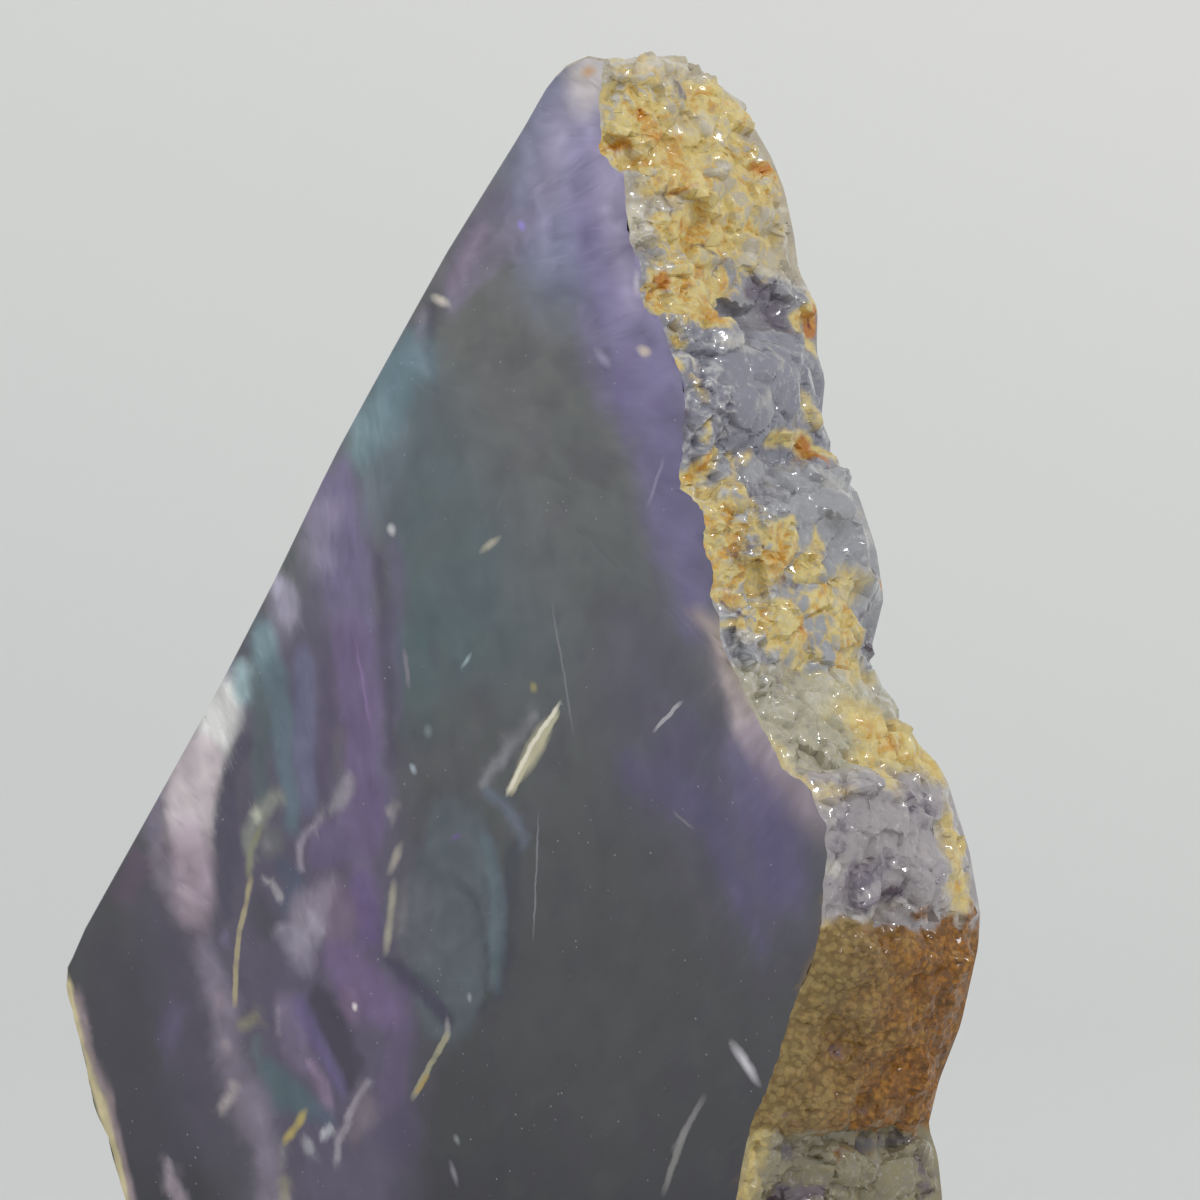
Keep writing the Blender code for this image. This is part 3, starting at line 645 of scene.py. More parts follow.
crustMarks = {
    "yellow": [
        ([(-1.1, 107.0), (1.1, 106.6), (4.5, 105.9)], (0.86, 0.95, 0.67), 0.9),
        ([(3.4, 105.4), (3.0, 103.8)], 0.48, 0.6),
        ([(-9.6, 104.4), (-9.4, 103.0)], (0.38, 1.15), 0.95),
        ([(-8.2, 105.7), (-7.7, 104.1), (-7.6, 103.0), (-4.5, 102.8), (-2.1, 102.8)],
         (0.76, 1.05, 1.05, 0.95, 0.86), 0.85),
        ([(-5.8, 105.3), (-4.9, 103.5)], (0.67, 0.76), 0.8),
        ([(-5.3, 101.0), (-4.2, 100.3)], 1.05, 0.85),
        ([(-0.9, 103.3), (0.2, 103.8)], (0.48, 0.38), 0.5),
        ([(-0.1, 102.5), (1.9, 102.1), (4.2, 101.6), (9.6, 100.6)], (0.43, 0.48, 0.43, 0.38), 0.95),
        ([(2.3, 100.8), (2.6, 99.3), (4.4, 99.6)], 0.38, 0.7),
        ([(0.1, 98.8), (0.9, 97.9)], 0.29, 0.8),
        ([(-3.8, 97.9), (-2.6, 97.1)], 0.57, 0.85),
        ([(-1.1, 97.9), (-1.1, 97.6)], (0.33, 0.29), 0.8),
        ([(-5.4, 96.7), (-4.1, 95.8), (-1.9, 95.6), (-0.2, 96.1)], (0.86, 0.86, 0.86, 0.67), 0.85),
        ([(2.0, 96.7), (3.5, 95.5)], 0.38, 0.7),
        ([(-9.0, 99.9), (-7.5, 100.2)], 0.57, 0.5),
        ([(-8.1, 97.2), (-5.9, 96.4)], 0.67, 0.6),
        ([(-9.2, 92.8), (-9.3, 90.4)], 0.57, 0.8),
        ([(-6.5, 92.5), (-3.0, 92.9), (-4.9, 90.1), (-6.6, 90.4)], 0.86, 0.85),
        ([(-1.2, 92.1), (-3.6, 89.8)], 0.57, 0.7),
        ([(9.9, 90.4), (6.7, 88.3), (9.6, 86.4)], (0.57, 0.76, 0.57), 0.9),
        ([(4.8, 82.9), (5.4, 81.2)], 0.76, 0.55),
        ([(-1.0, 79.7), (3.7, 79.5), (6.0, 78.1)], (0.48, 0.57, 0.48), 0.9),
        ([(-9.7, 84.8), (-9.0, 83.4)], 0.29, 0.5),
        ([(-8.7, 81.4), (-8.9, 80.3)], 0.29, 0.7),
        ([(-9.8, 88.1), (-9.9, 87.8)], (0.48, 0.38), 0.7),
        ([(-10.5, 86.1), (-10.5, 85.8)], 0.29, 0.7),
        ([(-7.4, 79.1), (-9.2, 77.7), (-10.5, 76.4)], (0.43, 0.57, 0.48), 0.95),
        ([(-10.0, 76.5), (-8.5, 75.9), (-6.4, 76.9), (-5.2, 78.5)], 0.29, 0.6),
        ([(-4.6, 78.0), (-3.6, 78.8)], 0.29, 0.6),
        ([(-7.5, 75.8), (-7.3, 75.7)], (0.48, 0.38), 0.7),
        ([(-9.6, 74.5), (-9.6, 73.2), (-10.0, 72.7), (-10.2, 71.1), (-10.5, 70.4)],
         (0.57, 0.76, 0.67, 0.67, 0.48), 0.9),
        ([(-9.0, 71.7), (-9.0, 71.3)], 0.48, 0.75),
        ([(-3.4, 73.4), (-6.1, 72.6)], (0.38, 0.48), 0.85),
        ([(-4.5, 71.7), (-5.1, 70.0), (-8.6, 69.7), (-9.6, 68.8)], (0.95, 0.86, 0.67, 0.57), 0.9),
        ([(-9.9, 69.1), (-10.2, 68.0), (-9.3, 68.2)], (0.48, 0.48, 0.38), 0.95),
        ([(-0.0, 72.2), (0.4, 71.7)], (0.57, 0.48), 0.8),
        ([(-0.7, 70.7), (-2.2, 69.3)], 0.57, 0.8),
        ([(-0.3, 67.1), (-1.3, 66.7)], (0.76, 0.57), 0.85),
        ([(5.3, 67.7), (2.9, 67.6), (2.5, 65.1), (2.8, 61.8)], (1.0, 1.5, 1.8, 1.5), 0.62),
        ([(-4.9, 66.1), (-3.8, 64.7), (-6.1, 64.4)], (0.95, 1.05, 0.76), 0.6),
        ([(-7.1, 66.1), (-6.8, 65.9)], 0.38, 0.7),
        ([(-9.7, 65.6), (-10.5, 65.4)], 0.29, 0.6),
        ([(3.0, 61.3), (6.2, 60.4)], 0.48, 0.8),
        ([(-3.6, 63.0), (-3.2, 62.7)], (0.48, 0.38), 0.7),
        ([(0.5, 57.4), (2.2, 56.0), (5.1, 54.9), (9.4, 53.2)], (1.1, 1.6, 1.5, 1.1), 0.95),
        ([(0.2, 54.5), (-2.4, 53.8)], (0.86, 0.67), 0.9),
        ([(-3.5, 58.3), (0.4, 58.2)], 0.76, 0.45),
        ([(-10.3, 56.1), (-10.4, 54.2), (-10.4, 52.8), (-9.0, 52.9)], (0.29, 0.38, 0.38, 0.38), 0.7),
        ([(6.2, 48.6), (5.6, 46.0), (6.4, 43.6)], (1.2, 1.6, 1.3), 0.85),
        ([(4.1, 61.1), (6.6, 60.4)], (0.48, 0.38), 0.7),
        ([(-9.9, 41.7), (-9.2, 36.4), (-9.4, 31.2), (-10.1, 28.6), (-9.7, 24.5), (-9.8, 20.6)],
         (0.57, 0.67, 0.67, 0.67, 0.57, 0.57), 0.7),
    ],
    "rust": [
        ([(4.2, 101.6), (9.8, 100.6)], (0.24, 0.29), 0.8),
        ([(-6.2, 101.0), (-6.1, 99.5), (-4.5, 99.8)], 0.19, 0.6),
        ([(-8.2, 105.8), (-8.0, 105.6)], 0.29, 0.8),
        ([(-6.9, 104.0), (-6.3, 103.5)], 0.29, 0.8),
        ([(-9.7, 102.9), (-9.2, 103.1)], (0.29, 0.38), 0.8),
        ([(-5.4, 97.0), (-5.2, 96.6)], 0.29, 0.7),
        ([(-8.6, 92.9), (-8.1, 92.3)], 0.38, 0.95),
        ([(9.4, 89.4), (9.8, 87.9)], (0.57, 0.48), 0.95),
        ([(3.9, 79.4), (5.0, 78.6)], 0.38, 0.9),
        ([(4.9, 78.0), (5.1, 77.5)], 0.24, 0.8),
        ([(-8.3, 78.9), (-8.9, 77.9)], 0.29, 0.7),
        ([(-3.8, 71.5), (-4.1, 68.7)], 0.19, 0.6),
        ([(-10.3, 68.4), (-10.1, 68.7)], 0.29, 0.5),
        ([(10.2, 67.6)], 0.29, 0.9),
        ([(2.9, 55.6), (4.5, 54.4)], (0.57, 0.48), 0.5),
        ([(-3.5, 64.9), (-2.7, 64.4)], (0.38, 0.29), 0.6),
    ],
    "pale": [
        ([(-9.9, 98.2), (-10.0, 96.5)], (0.86, 0.76), 0.75),
        ([(-10.1, 102.7), (-8.3, 102.5)], 0.14, 0.85),
        ([(-5.8, 99.3), (-4.4, 99.7)], (0.1, 0.11), 0.7),
        ([(-1.7, 101.1), (1.8, 101.6)], (0.11, 0.13), 0.9),
        ([(-3.6, 104.6), (-3.3, 104.3)], (0.38, 0.29), 0.6),
        ([(-1.9, 98.9), (-1.6, 98.6)], 0.38, 0.7),
        ([(2.0, 94.6), (2.4, 94.2)], (0.48, 0.38), 0.7),
        ([(-6.3, 94.7), (-6.0, 94.4)], (0.38, 0.29), 0.6),
        ([(9.9, 98.0), (6.5, 95.1)], (0.48, 0.57), 0.65),
        ([(-7.6, 109.3), (-3.5, 109.9), (-0.0, 109.1)], (0.48, 0.57, 0.57), 0.6),
        ([(-5.6, 87.8), (-1.8, 87.4)], (0.76, 0.67), 0.5),
        ([(1.0, 87.3), (1.0, 85.4)], (0.38, 0.48), 0.45),
        ([(-1.5, 83.4), (-3.6, 82.4)], 0.67, 0.4),
        ([(3.4, 93.1), (10.4, 91.4)], 0.19, 0.75),
        ([(9.6, 84.7)], 0.38, 0.5),
        ([(-10.5, 86.7), (-9.3, 86.7), (-8.7, 85.3)], (0.14, 0.14, 0.15), 0.95),
        ([(-9.1, 89.2), (-9.3, 88.2)], 0.14, 0.95),
        ([(-10.5, 68.1), (-8.9, 68.3)], 0.13, 0.8),
        ([(-7.2, 67.8), (-5.7, 67.5)], 0.29, 0.6),
        ([(-9.6, 64.7), (-8.6, 64.7)], (0.57, 0.48), 0.65),
        ([(-5.3, 62.3), (-7.2, 61.7)], 0.57, 0.5),
        ([(0.2, 61.3), (-0.7, 60.5)], 0.48, 0.85),
        ([(-10.5, 75.9), (-10.5, 75.4), (-9.7, 75.2), (-9.1, 75.2)], (0.14, 0.15, 0.15, 0.15), 0.75),
        ([(2.6, 68.0), (0.9, 66.4)], 0.19, 0.6),
        # a painted sheen on the lump's upper right, laid as a pale mark
        ([(3.5, 76.2), (10.0, 73.3), (9.8, 71.3)], (1.05, 1.15, 0.95), 0.4),
        ([(-4.8, 59.9), (-0.9, 59.4), (0.7, 60.2)], (0.76, 0.76, 0.67), 0.6),
        ([(6.0, 58.8), (9.4, 57.6)], (0.76, 0.67), 0.65),
        ([(-7.4, 54.3), (-7.3, 54.9)], (0.95, 0.86), 0.55),
        ([(-9.8, 46.9), (-9.6, 47.0)], (0.48, 0.38), 0.95),
        ([(-10.3, 50.8), (-10.3, 51.7)], 0.38, 0.6),
        ([(-2.8, 43.0), (-2.5, 43.7)], 0.38, 0.6),
        ([(-0.6, 47.3), (-0.5, 47.0)], 0.38, 0.6),
        ([(6.1, 51.6), (5.9, 51.4)], 0.29, 0.7),
        ([(-6.3, 47.4), (-6.0, 47.2)], (0.48, 0.38), 0.55),
        ([(-7.9, 42.7), (-3.3, 42.8)], (0.57, 0.48), 0.6),
        ([(0.3, 34.4), (0.8, 34.0)], (0.48, 0.38), 0.4),
        ([(-1.0, 105.3), (0.1, 104.6)], (0.76, 0.67), 0.5),
        ([(-5.3, 108.9), (-4.3, 108.6)], 0.57, 0.4),
    ],
    "dark": [
        ([(-3.0, 108.0), (-2.9, 107.7)], (1.24, 1.15), 0.45),
        ([(-6.7, 99.7), (-6.7, 98.0)], 0.29, 0.6),
        ([(-4.1, 95.2), (-0.1, 93.9)], 0.29, 0.55),
        ([(-10.2, 101.0), (-7.9, 98.3)], (0.19, 0.24), 0.5),
        ([(0.6, 103.2), (3.6, 102.7)], 0.29, 0.35),
        ([(2.4, 91.5), (5.0, 89.8), (4.9, 88.7)], (1.24, 1.24, 0.86), 0.6),
        ([(-6.4, 84.2), (-7.5, 81.4)], (1.15, 0.95), 0.35),
        ([(-10.5, 82.0), (-10.5, 80.0)], 0.48, 0.6),
        ([(-10.2, 87.9), (-10.5, 86.9)], 0.29, 0.6),
        ([(-7.4, 71.9), (-8.6, 70.9)], (0.76, 0.86), 0.45),
        ([(-4.2, 69.6), (-3.9, 68.4), (-2.4, 68.2)], 0.29, 0.6),
        ([(-2.5, 72.7), (-3.8, 69.1)], 0.25, 0.55),
        ([(-7.3, 68.3), (-4.8, 67.8)], 0.19, 0.6),
        ([(-9.9, 67.5), (-9.2, 66.3)], 0.24, 0.6),
        ([(-2.2, 77.0), (-6.5, 75.7)], (1.15, 1.05), 0.35),
        ([(9.2, 66.6), (5.5, 64.2), (9.8, 60.5)], (0.48, 0.57, 0.57), 0.6),
        ([(-1.7, 61.6), (-6.8, 60.6)], 0.57, 0.55),
        ([(-2.7, 64.3), (0.3, 63.8)], 0.57, 0.3),
        ([(-0.1, 53.5), (-2.1, 52.6), (-1.2, 51.5), (3.4, 50.5)], (0.38, 0.48, 0.48, 0.38), 0.75),
        ([(-1.4, 48.8), (-1.1, 48.1)], 0.29, 0.7),
        ([(-9.0, 50.6), (-9.9, 47.7)], 0.57, 0.6),
        ([(-5.3, 46.7), (-7.8, 45.6)], 1.24, 0.65),
        ([(-7.6, 43.7), (-3.0, 44.5)], (0.38, 0.43), 0.95),
        ([(-0.8, 47.0), (-0.4, 45.9)], 0.29, 0.7),
        ([(-9.6, 55.6), (-8.8, 55.0)], 0.38, 0.35),
        ([(-5.3, 56.5), (-5.5, 56.2)], (0.57, 0.48), 0.4),
        ([(-7.1, 60.9), (-7.0, 60.6)], 0.38, 0.4),
        ([(-5.9, 31.8), (-5.7, 31.7)], 0.48, 0.8),
        ([(-1.4, 26.6), (-1.0, 26.4)], (0.57, 0.48), 0.6),
        ([(-6.3, 23.3), (-5.8, 23.0)], (0.67, 0.57), 0.7),
        ([(-1.6, 34.4), (-1.3, 34.2)], (0.48, 0.38), 0.45),
        ([(-4.7, 35.4), (-4.4, 35.3)], (0.38, 0.29), 0.5),
        ([(-9.4, 26.7), (-6.2, 25.5)], 0.38, 0.6),
        ([(1.7, 23.2), (7.8, 23.1)], 0.29, 0.8),
        ([(-5.3, 19.6), (-2.7, 19.7)], (0.76, 0.86), 0.9),
        ([(8.0, 21.2), (8.9, 18.7)], (0.57, 0.67), 0.7),
        ([(-9.9, 37.6), (-9.7, 37.5)], (0.48, 0.38), 0.5),
        ([(-8.6, 85.9), (-9.1, 83.1)], 0.29, 0.5),
    ],
}
crust = {
    # each band's lower edge at the front and at the back, mm, and its tone
    "bands": [(-5.0, -5.0, (130, 122, 98)), (26.0, 23.5, (134, 98, 48)), (42.5, 40.4, (150, 144, 146)),
              (54.6, 53.0, (160, 155, 134)), (62.5, 60.2, (142, 142, 146)), (78.7, 77.2, (124, 124, 134)),
              (90.0, 87.4, (136, 134, 138)), (95.2, 91.6, (168, 158, 138))],
    "skin": (182, 171, 140),
    "spread": {"yellow": 1.3, "rust": 1.1, "pale": 1.1, "dark": 1.1},
    "druse": (24.4, 41.6),               # mm: the heights between which the brown grains lie
    "smooth": [([(-4.0, 83.5), (4.0, 86.0), (3.0, 81.0)], (3.6, 4.0, 3.0), 1.6, 1.0),      # quieter surfaces
               ([(2.0, 75.5), (8.5, 73.5), (9.0, 68.5)], (2.4, 3.0, 2.0), 1.6, 1.0),
               ([(-4.0, 58.8), (4.0, 59.0)], 1.2, 1.0, 1.0)],
    "creaseYellow": [([(-5.0, 106.0), (4.0, 99.0), (-4.0, 94.0)], (6.0, 6.0, 5.0), 2.0, 0.8),
                     ([(-9.0, 91.0), (-3.0, 91.0)], (2.0, 2.4), 1.0, 0.5),
                     ([(-9.5, 74.0), (-5.0, 68.0), (0.0, 63.0)], (2.2, 5.0, 4.0), 1.6, 0.62)],
    "yellow": (199, 182, 122), "ochre": (190, 162, 92), "orange": (188, 138, 48),
    "rust": (168, 108, 50), "deepRust": (112, 60, 40),
    "pale": (198, 190, 168), "white": (200, 197, 192), "dark": (88, 80, 94), "frostAndRidgeHighlight": (182, 180, 179),
    "shade": (112, 110, 120), "brown": (114, 82, 44), "gold": (150, 104, 42),
    "sand": (150, 126, 80), "umber": (90, 70, 52),
    "olive": (136, 122, 88),
    "skinFrom": -10.0, "skinWholeAt": -16.0,      # mm: where the crust gives way to the skin, in x
    "raggedSize": 1.8, "softBelow": 64.0,         # mm: the marks below this height are softer
    "wispSize": 1.7, "fineSize": 0.6, "edgeSize": 0.9, "grainsTo1mm": 1.7,
    "dullness": 0.30, "druseDullness": 0.26, "coat": 0.9, "coatRoughness": 0.05,
    "refraction": 1.434, "pitDepth": 0.25,        # mm
}


def paintCrust(points):
    # at each point: base colour, masks (yellow, rust, pale, dark), and the druse, smooth and crease zones
    side = points[:, 1:]
    ragged = cloud(points, crust["raggedSize"], 2.0)
    colour = np.zeros((len(points), 3))
    for front, rear, tone in crust["bands"]:
        edge = front + (side[:, 0] - faceY) / (backY - faceY) * (rear - front)
        colour = lay(colour, smoothStep(-0.35, 0.35, side[:, 1] - edge + 0.7 * ragged), seen(*tone))
    skinFrom, skinWholeAt = crust["skinFrom"], crust["skinWholeAt"]
    colour = lay(colour, smoothStep(skinFrom, skinWholeAt, points[:, 0]), seen(*crust["skin"]))
    onCrust = smoothStep(skinWholeAt, skinFrom, points[:, 0])
    place = pushed(pushed(points, 2.2, 0.35, 1.0), 0.7, 0.14, 6.0)[:, 1:]
    masks = []
    for kind in ("yellow", "rust", "pale", "dark"):
        mask = np.zeros(len(points))
        for spots, widths, strength in crustMarks[kind]:
            widths = tuple(width * crust["spread"][kind] for width in widthsOf(spots, widths))
            soft = 0.34 + 0.5 * max(widths) + (1.2 if spots[0][1] < crust["softBelow"] else 0.0)
            mask = np.maximum(mask, smoothStep(soft, -soft, strokeGap(place, spots, widths)) * strength)
        masks.append(mask * onCrust)
    low, high = crust["druse"]
    wave = side[:, 1] + side[:, 0] * 0.08 + ragged * 2.4
    druse = smoothStep(low - 0.7, low + 0.7, wave) * smoothStep(high + 0.5, high - 0.5, wave) * onCrust
    smooth, crease = np.zeros(len(points)), np.zeros(len(points))
    for layer, zones in ((smooth, crust["smooth"]), (crease, crust["creaseYellow"])):
        for spots, widths, soft, strength in zones:
            zone = smoothStep(soft, -soft, strokeGap(place, spots, widths)) * strength
            np.maximum(layer, zone, out=layer)
    return colour, masks, druse, smooth, crease * onCrust


def makeCrustMaterial():
    recipe = Recipe("crustFluorite")
    place = recipe.place()
    colour, smooth = recipe.attribute("crustStone")
    marks, dark = recipe.attribute("crustMarks")
    yellow, rust, pale = recipe.parts(marks)
    zones, hollow = recipe.attribute("crustZones")
    druse, crease, ridgeHighlight = recipe.parts(zones)
    wisps = recipe.grain(place, crust["wispSize"], 5.0, 0.68)
    fine = recipe.grain(place, crust["fineSize"], 4.0, 0.7, offset=3.0)
    edge = recipe.grain(place, crust["edgeSize"], 4.0, 0.65, offset=12.0) - 0.5
    # darker in cloudy wisps, and painted shade in the hollows and grooves of the relief
    colour = recipe.mix(wisps.rise(0.5, 0.3) * 0.3 + hollow * 0.25, colour, seen(*crust["shade"]))
    # frosty flecks from fine noise, and a painted highlight along the crinkled strip's ridges
    colour = recipe.mix(fine.rise(0.54, 0.72) * 0.5 + ridgeHighlight * 0.6, colour, seen(*crust["frostAndRidgeHighlight"]))
    # yellow earth: in patches, and in the creases round them
    earth = yellow + edge * 0.6 + crease * hollow
    cover = earth.rise(0.10, 0.72)
    deeper = wisps.rise(0.56, 0.38) * 0.75 + hollow * 0.35
    warm = recipe.mix(deeper, seen(*crust["yellow"]), seen(*crust["ochre"]))
    warm = recipe.mix(earth.rise(0.62, 0.95) * wisps.rise(0.54, 0.38) * 0.8, warm, seen(*crust["orange"]))
    warm = recipe.mix(fine.rise(0.52, 0.7) * 0.45, warm, seen(*crust["pale"]))
    colour = recipe.mix(cover * (0.93 - fine.rise(0.5, 0.36) * 0.45), colour, warm)
    rusty = (rust + edge * 0.5).rise(0.14, 0.66)
    rustTone = recipe.mix(fine.rise(0.45, 0.65), seen(*crust["rust"]), seen(*crust["orange"]))
    colour = recipe.mix(rusty * 0.9, colour, rustTone)
    colour = recipe.mix((rust + edge * 0.6).rise(0.82, 0.98), colour, seen(*crust["deepRust"]))
    paleness = (pale + edge * 0.8).rise(0.16, 0.8)
    paleTone = recipe.mix(fine.rise(0.4, 0.6), seen(*crust["pale"]), seen(*crust["white"]))
    colour = recipe.mix(paleness * 0.7, colour, paleTone)
    colour = recipe.mix((dark + edge * 0.9).rise(0.26, 0.62) * 0.8, colour, seen(*crust["dark"]))
    # the brown druse
    grainy = recipe.grain(place, 0.7, 3.0, 0.7, offset=2.0)
    broad = recipe.grain(place, 2.6, 4.0, 0.62, offset=21.0)
    brown = recipe.mix(grainy.rise(0.4, 0.6), seen(*crust["brown"]), seen(*crust["gold"]))
    backward = recipe.vector("DOT_PRODUCT", place, (0.0, 1.0, 0.0))
    sandy = (broad + grainy * 0.6 - backward * 0.012).rise(0.74, 1.1) * 0.7
    brown = recipe.mix(sandy, brown, seen(*crust["sand"]))
    brown = recipe.mix((broad + grainy * 0.4).rise(0.68, 0.50) * 0.6, brown, seen(*crust["umber"]))
    front = (broad * 6.0 - backward).rise(2.5, 14.0)
    brown = recipe.mix(front * 0.75, brown, seen(*crust["olive"]))
    grains = recipe.node("TexVoronoi", {"feature": "F1"}, {
        "Vector": place, "Scale": crust["grainsTo1mm"]})
    brown = recipe.mix(grains.rise(0.42, 0.66) * 0.5, brown, seen(*crust["umber"]))
    brown = recipe.mix(grains.rise(0.24, 0.08) * grainy.rise(0.44, 0.56) * 0.5, brown, seen(*crust["sand"]))
    colour = recipe.mix(druse * (1.0 - (dark + edge * 0.9).rise(0.26, 0.5)) * 0.95, colour, brown)
    recipe.feed(recipe.shader.inputs["Base Color"], colour)
    dullness = crust["dullness"] + druse * crust["druseDullness"] + cover * 0.1 - smooth * 0.1 + edge * 0.4
    recipe.feed(recipe.shader.inputs["Roughness"], dullness.clamped())
    recipe.shader.inputs["IOR"].default_value = crust["refraction"]
    coat = crust["coat"] - druse * 0.5 - cover * 0.2
    recipe.feed(recipe.shader.inputs["Coat Weight"], coat.clamped())
    recipe.shader.inputs["Coat Roughness"].default_value = crust["coatRoughness"]
    pits = recipe.grain(place, 0.3, 4.0, 0.7) * 0.5 + recipe.grain(place, 0.9, 3.0, 0.6, offset=31.0) * 0.7
    bump = recipe.node("Bump", {}, {"Height": pits, "Strength": 0.2, "Distance": crust["pitDepth"] * mm})
    recipe.feed(recipe.shader.inputs["Normal"], bump)
    return recipe.material


# The slab: the solid's own shape, its mesh made finer, then the crust worked in relief

slab = {
    "node": "fluorite_slice", "slot": "fluorite",
    "mergeGap": 1e-6,                        # m
    "polishedBevel": 0.2,                    # mm, the eased edge of the polished face
    "sawBelow": 12.5, "sawAbove": 32.5, "skinLeftOf": -12.0,       # mm, how the sides are told apart
    # mm, the longest edges on each kind of side
    "longest": {"front": 1.7, "back": 4.4, "saw": 1.7, "base": 4.4, "crust": 0.48, "skin": 0.9},
    "stripLength": 0.39, "druseLength": 0.44,
    "strip": -6.2, "stripFrom": 56.0, "stripWholeFrom": 62.0,      # mm: the crinkled strip, in y and z
    "bigFacet": 3.1, "bigTilt": 0.95, "bigGroove": 0.24,
    "smallFacet": 1.5, "smallTilt": 0.16, "smallGroove": 0.07,
    "crinkle": 1.4, "crinkleHeight": 0.26,
    "grain": 0.75, "grainHeight": 0.42,      # the druse
    "ruffle": 0.8, "ruffleHeight": 0.05,
    "fadeAtBase": 1.2, "fadeAtBack": 1.2, "fadeAtFront": 0.9,      # mm over which the relief dies out
    "edgeBand": 0.3, "edgeIn": -0.12, "edgeOut": 0.3,              # mm: the relief allowed at the edge
    "sharpAngle": 34.0,                      # degrees
}
sawDirection = Vector((-0.81, 0.0, 0.59))
sideKinds = list(slab["longest"])
frontKind, crustKind, skinKind = (sideKinds.index(name) for name in ("front", "crust", "skin"))


def sideOf(face, low, high):
    centre, normal = face.calc_center_median(), face.normal
    flat = 0.99
    if normal.y < -flat and centre.y < low.y + 1e-5:
        return "front"
    if normal.y > flat and centre.y > high.y - 1e-5:
        return "back"
    if normal.z < -flat and centre.z < 1e-5:
        return "base"
    inSaw = centre.x < slab["sawBelow"] * mm and centre.z > slab["sawAbove"] * mm
    if inSaw and normal.dot(sawDirection) > 0.85:
        return "saw"
    return "skin" if centre.x < slab["skinLeftOf"] * mm else "crust"


def wantedLength(middles, kinds):
    # the length that edges may have at each place
    wanted = np.array(list(slab["longest"].values()))[kinds]
    front, onCrust = kinds == frontKind, kinds == crustKind
    wanted[front] = wantedOnFace(middles[front])
    druseLow, druseHigh = crust["druse"]
    inDruse = onCrust & (middles[:, 2] > druseLow - 1) & (middles[:, 2] < druseHigh + 1)
    wanted[inDruse] = slab["druseLength"]
    inStrip = onCrust & (middles[:, 1] < slab["strip"] + 1) & (middles[:, 2] > slab["stripFrom"])
    wanted[inStrip] = slab["stripLength"]
    return wanted


def refine(points, triangles, kinds, rounds=40):
    # cut the longest edge of each triangle for as long as it is longer than wanted there
    for turn in range(rounds):
        corners = points[triangles]
        following = np.roll(corners, -1, axis=1)
        lengths = np.linalg.norm(corners - following, axis=2)
        longest = lengths.argmax(axis=1)
        rows = np.arange(len(triangles))
        middles = (corners[rows, longest] + following[rows, longest]) / 2
        cut = lengths[rows, longest] > wantedLength(middles, kinds)
        if not cut.any():
            break
        ends = np.sort(np.stack([triangles, np.roll(triangles, -1, axis=1)], axis=2), axis=2)
        keys = ends[:, :, 0].astype(np.int64) * (len(points) + 1) + ends[:, :, 1]
        marked, first = np.unique(keys[rows[cut], longest[cut]], return_index=True)
        new = middles[rows[cut]][first]
        found = np.searchsorted(marked, keys).clip(0, len(marked) - 1)
        mids = np.where(marked[found] == keys, found + len(points), -1)
        points = np.vstack([points, new])
        count = (mids >= 0).sum(axis=1)
        made, madeKinds = [triangles[count == 0]], [kinds[count == 0]]
        for number in (1, 2, 3):
            chosen = rows[count == number]
            # turn each triangle so that its marked edges come first
            if number == 1:
                turned = (mids[chosen] >= 0).argmax(axis=1)
            elif number == 2:
                turned = ((mids[chosen] < 0).argmax(axis=1) + 1) % 3
            else:
                turned = np.zeros(len(chosen), int)
            order = (turned[:, None] + np.arange(3)) % 3
            a, b, c = np.take_along_axis(triangles[chosen], order, axis=1).T
            ab, bc, ca = np.take_along_axis(mids[chosen], order, axis=1).T
            pieces = {1: [(a, ab, c), (ab, b, c)],
                      2: [(ab, b, bc), (a, ab, bc), (a, bc, c)],
                      3: [(a, ab, ca), (ab, b, bc), (ca, bc, c), (ab, bc, ca)]}[number]
            for piece in pieces:
                made.append(np.column_stack(piece))
                madeKinds.append(kinds[chosen])
        triangles, kinds = np.vstack(made), np.concatenate(madeKinds)
    print("refined:", {name: int((kinds == kind).sum()) for kind, name in enumerate(sideKinds)})
    return points, triangles, kinds


def facets(points, size, offset, groove):
    # a tilted crystal face to each cell, and how near each point is to the groove between two
    leanings = [(0.9, 0.3), (-0.5, 0.8), (0.1, -0.9), (0.6, -0.5), (-0.8, -0.2), (0.0, 0.5)]
    rise, crease = np.empty(len(points)), np.empty(len(points))
    for index, point in enumerate(points):
        spot = Vector(point) / size + Vector((offset, offset, offset))
        distances, centres = noise.voronoi(spot)
        centre = centres[0]
        key = centre.x * 12.99 + centre.y * 78.23 + centre.z * 37.72     # any number that differs by cell
        leanY, leanZ = leanings[int(abs(key) * 7.0) % len(leanings)]
        level = math.sin(key * 91.7) * 0.35
        rise[index] = level + leanY * (spot.y - centre.y) + leanZ * (spot.z - centre.z)
        crease[index] = distances[1] - distances[0]
    return rise, smoothStep(groove, 0.0, crease)


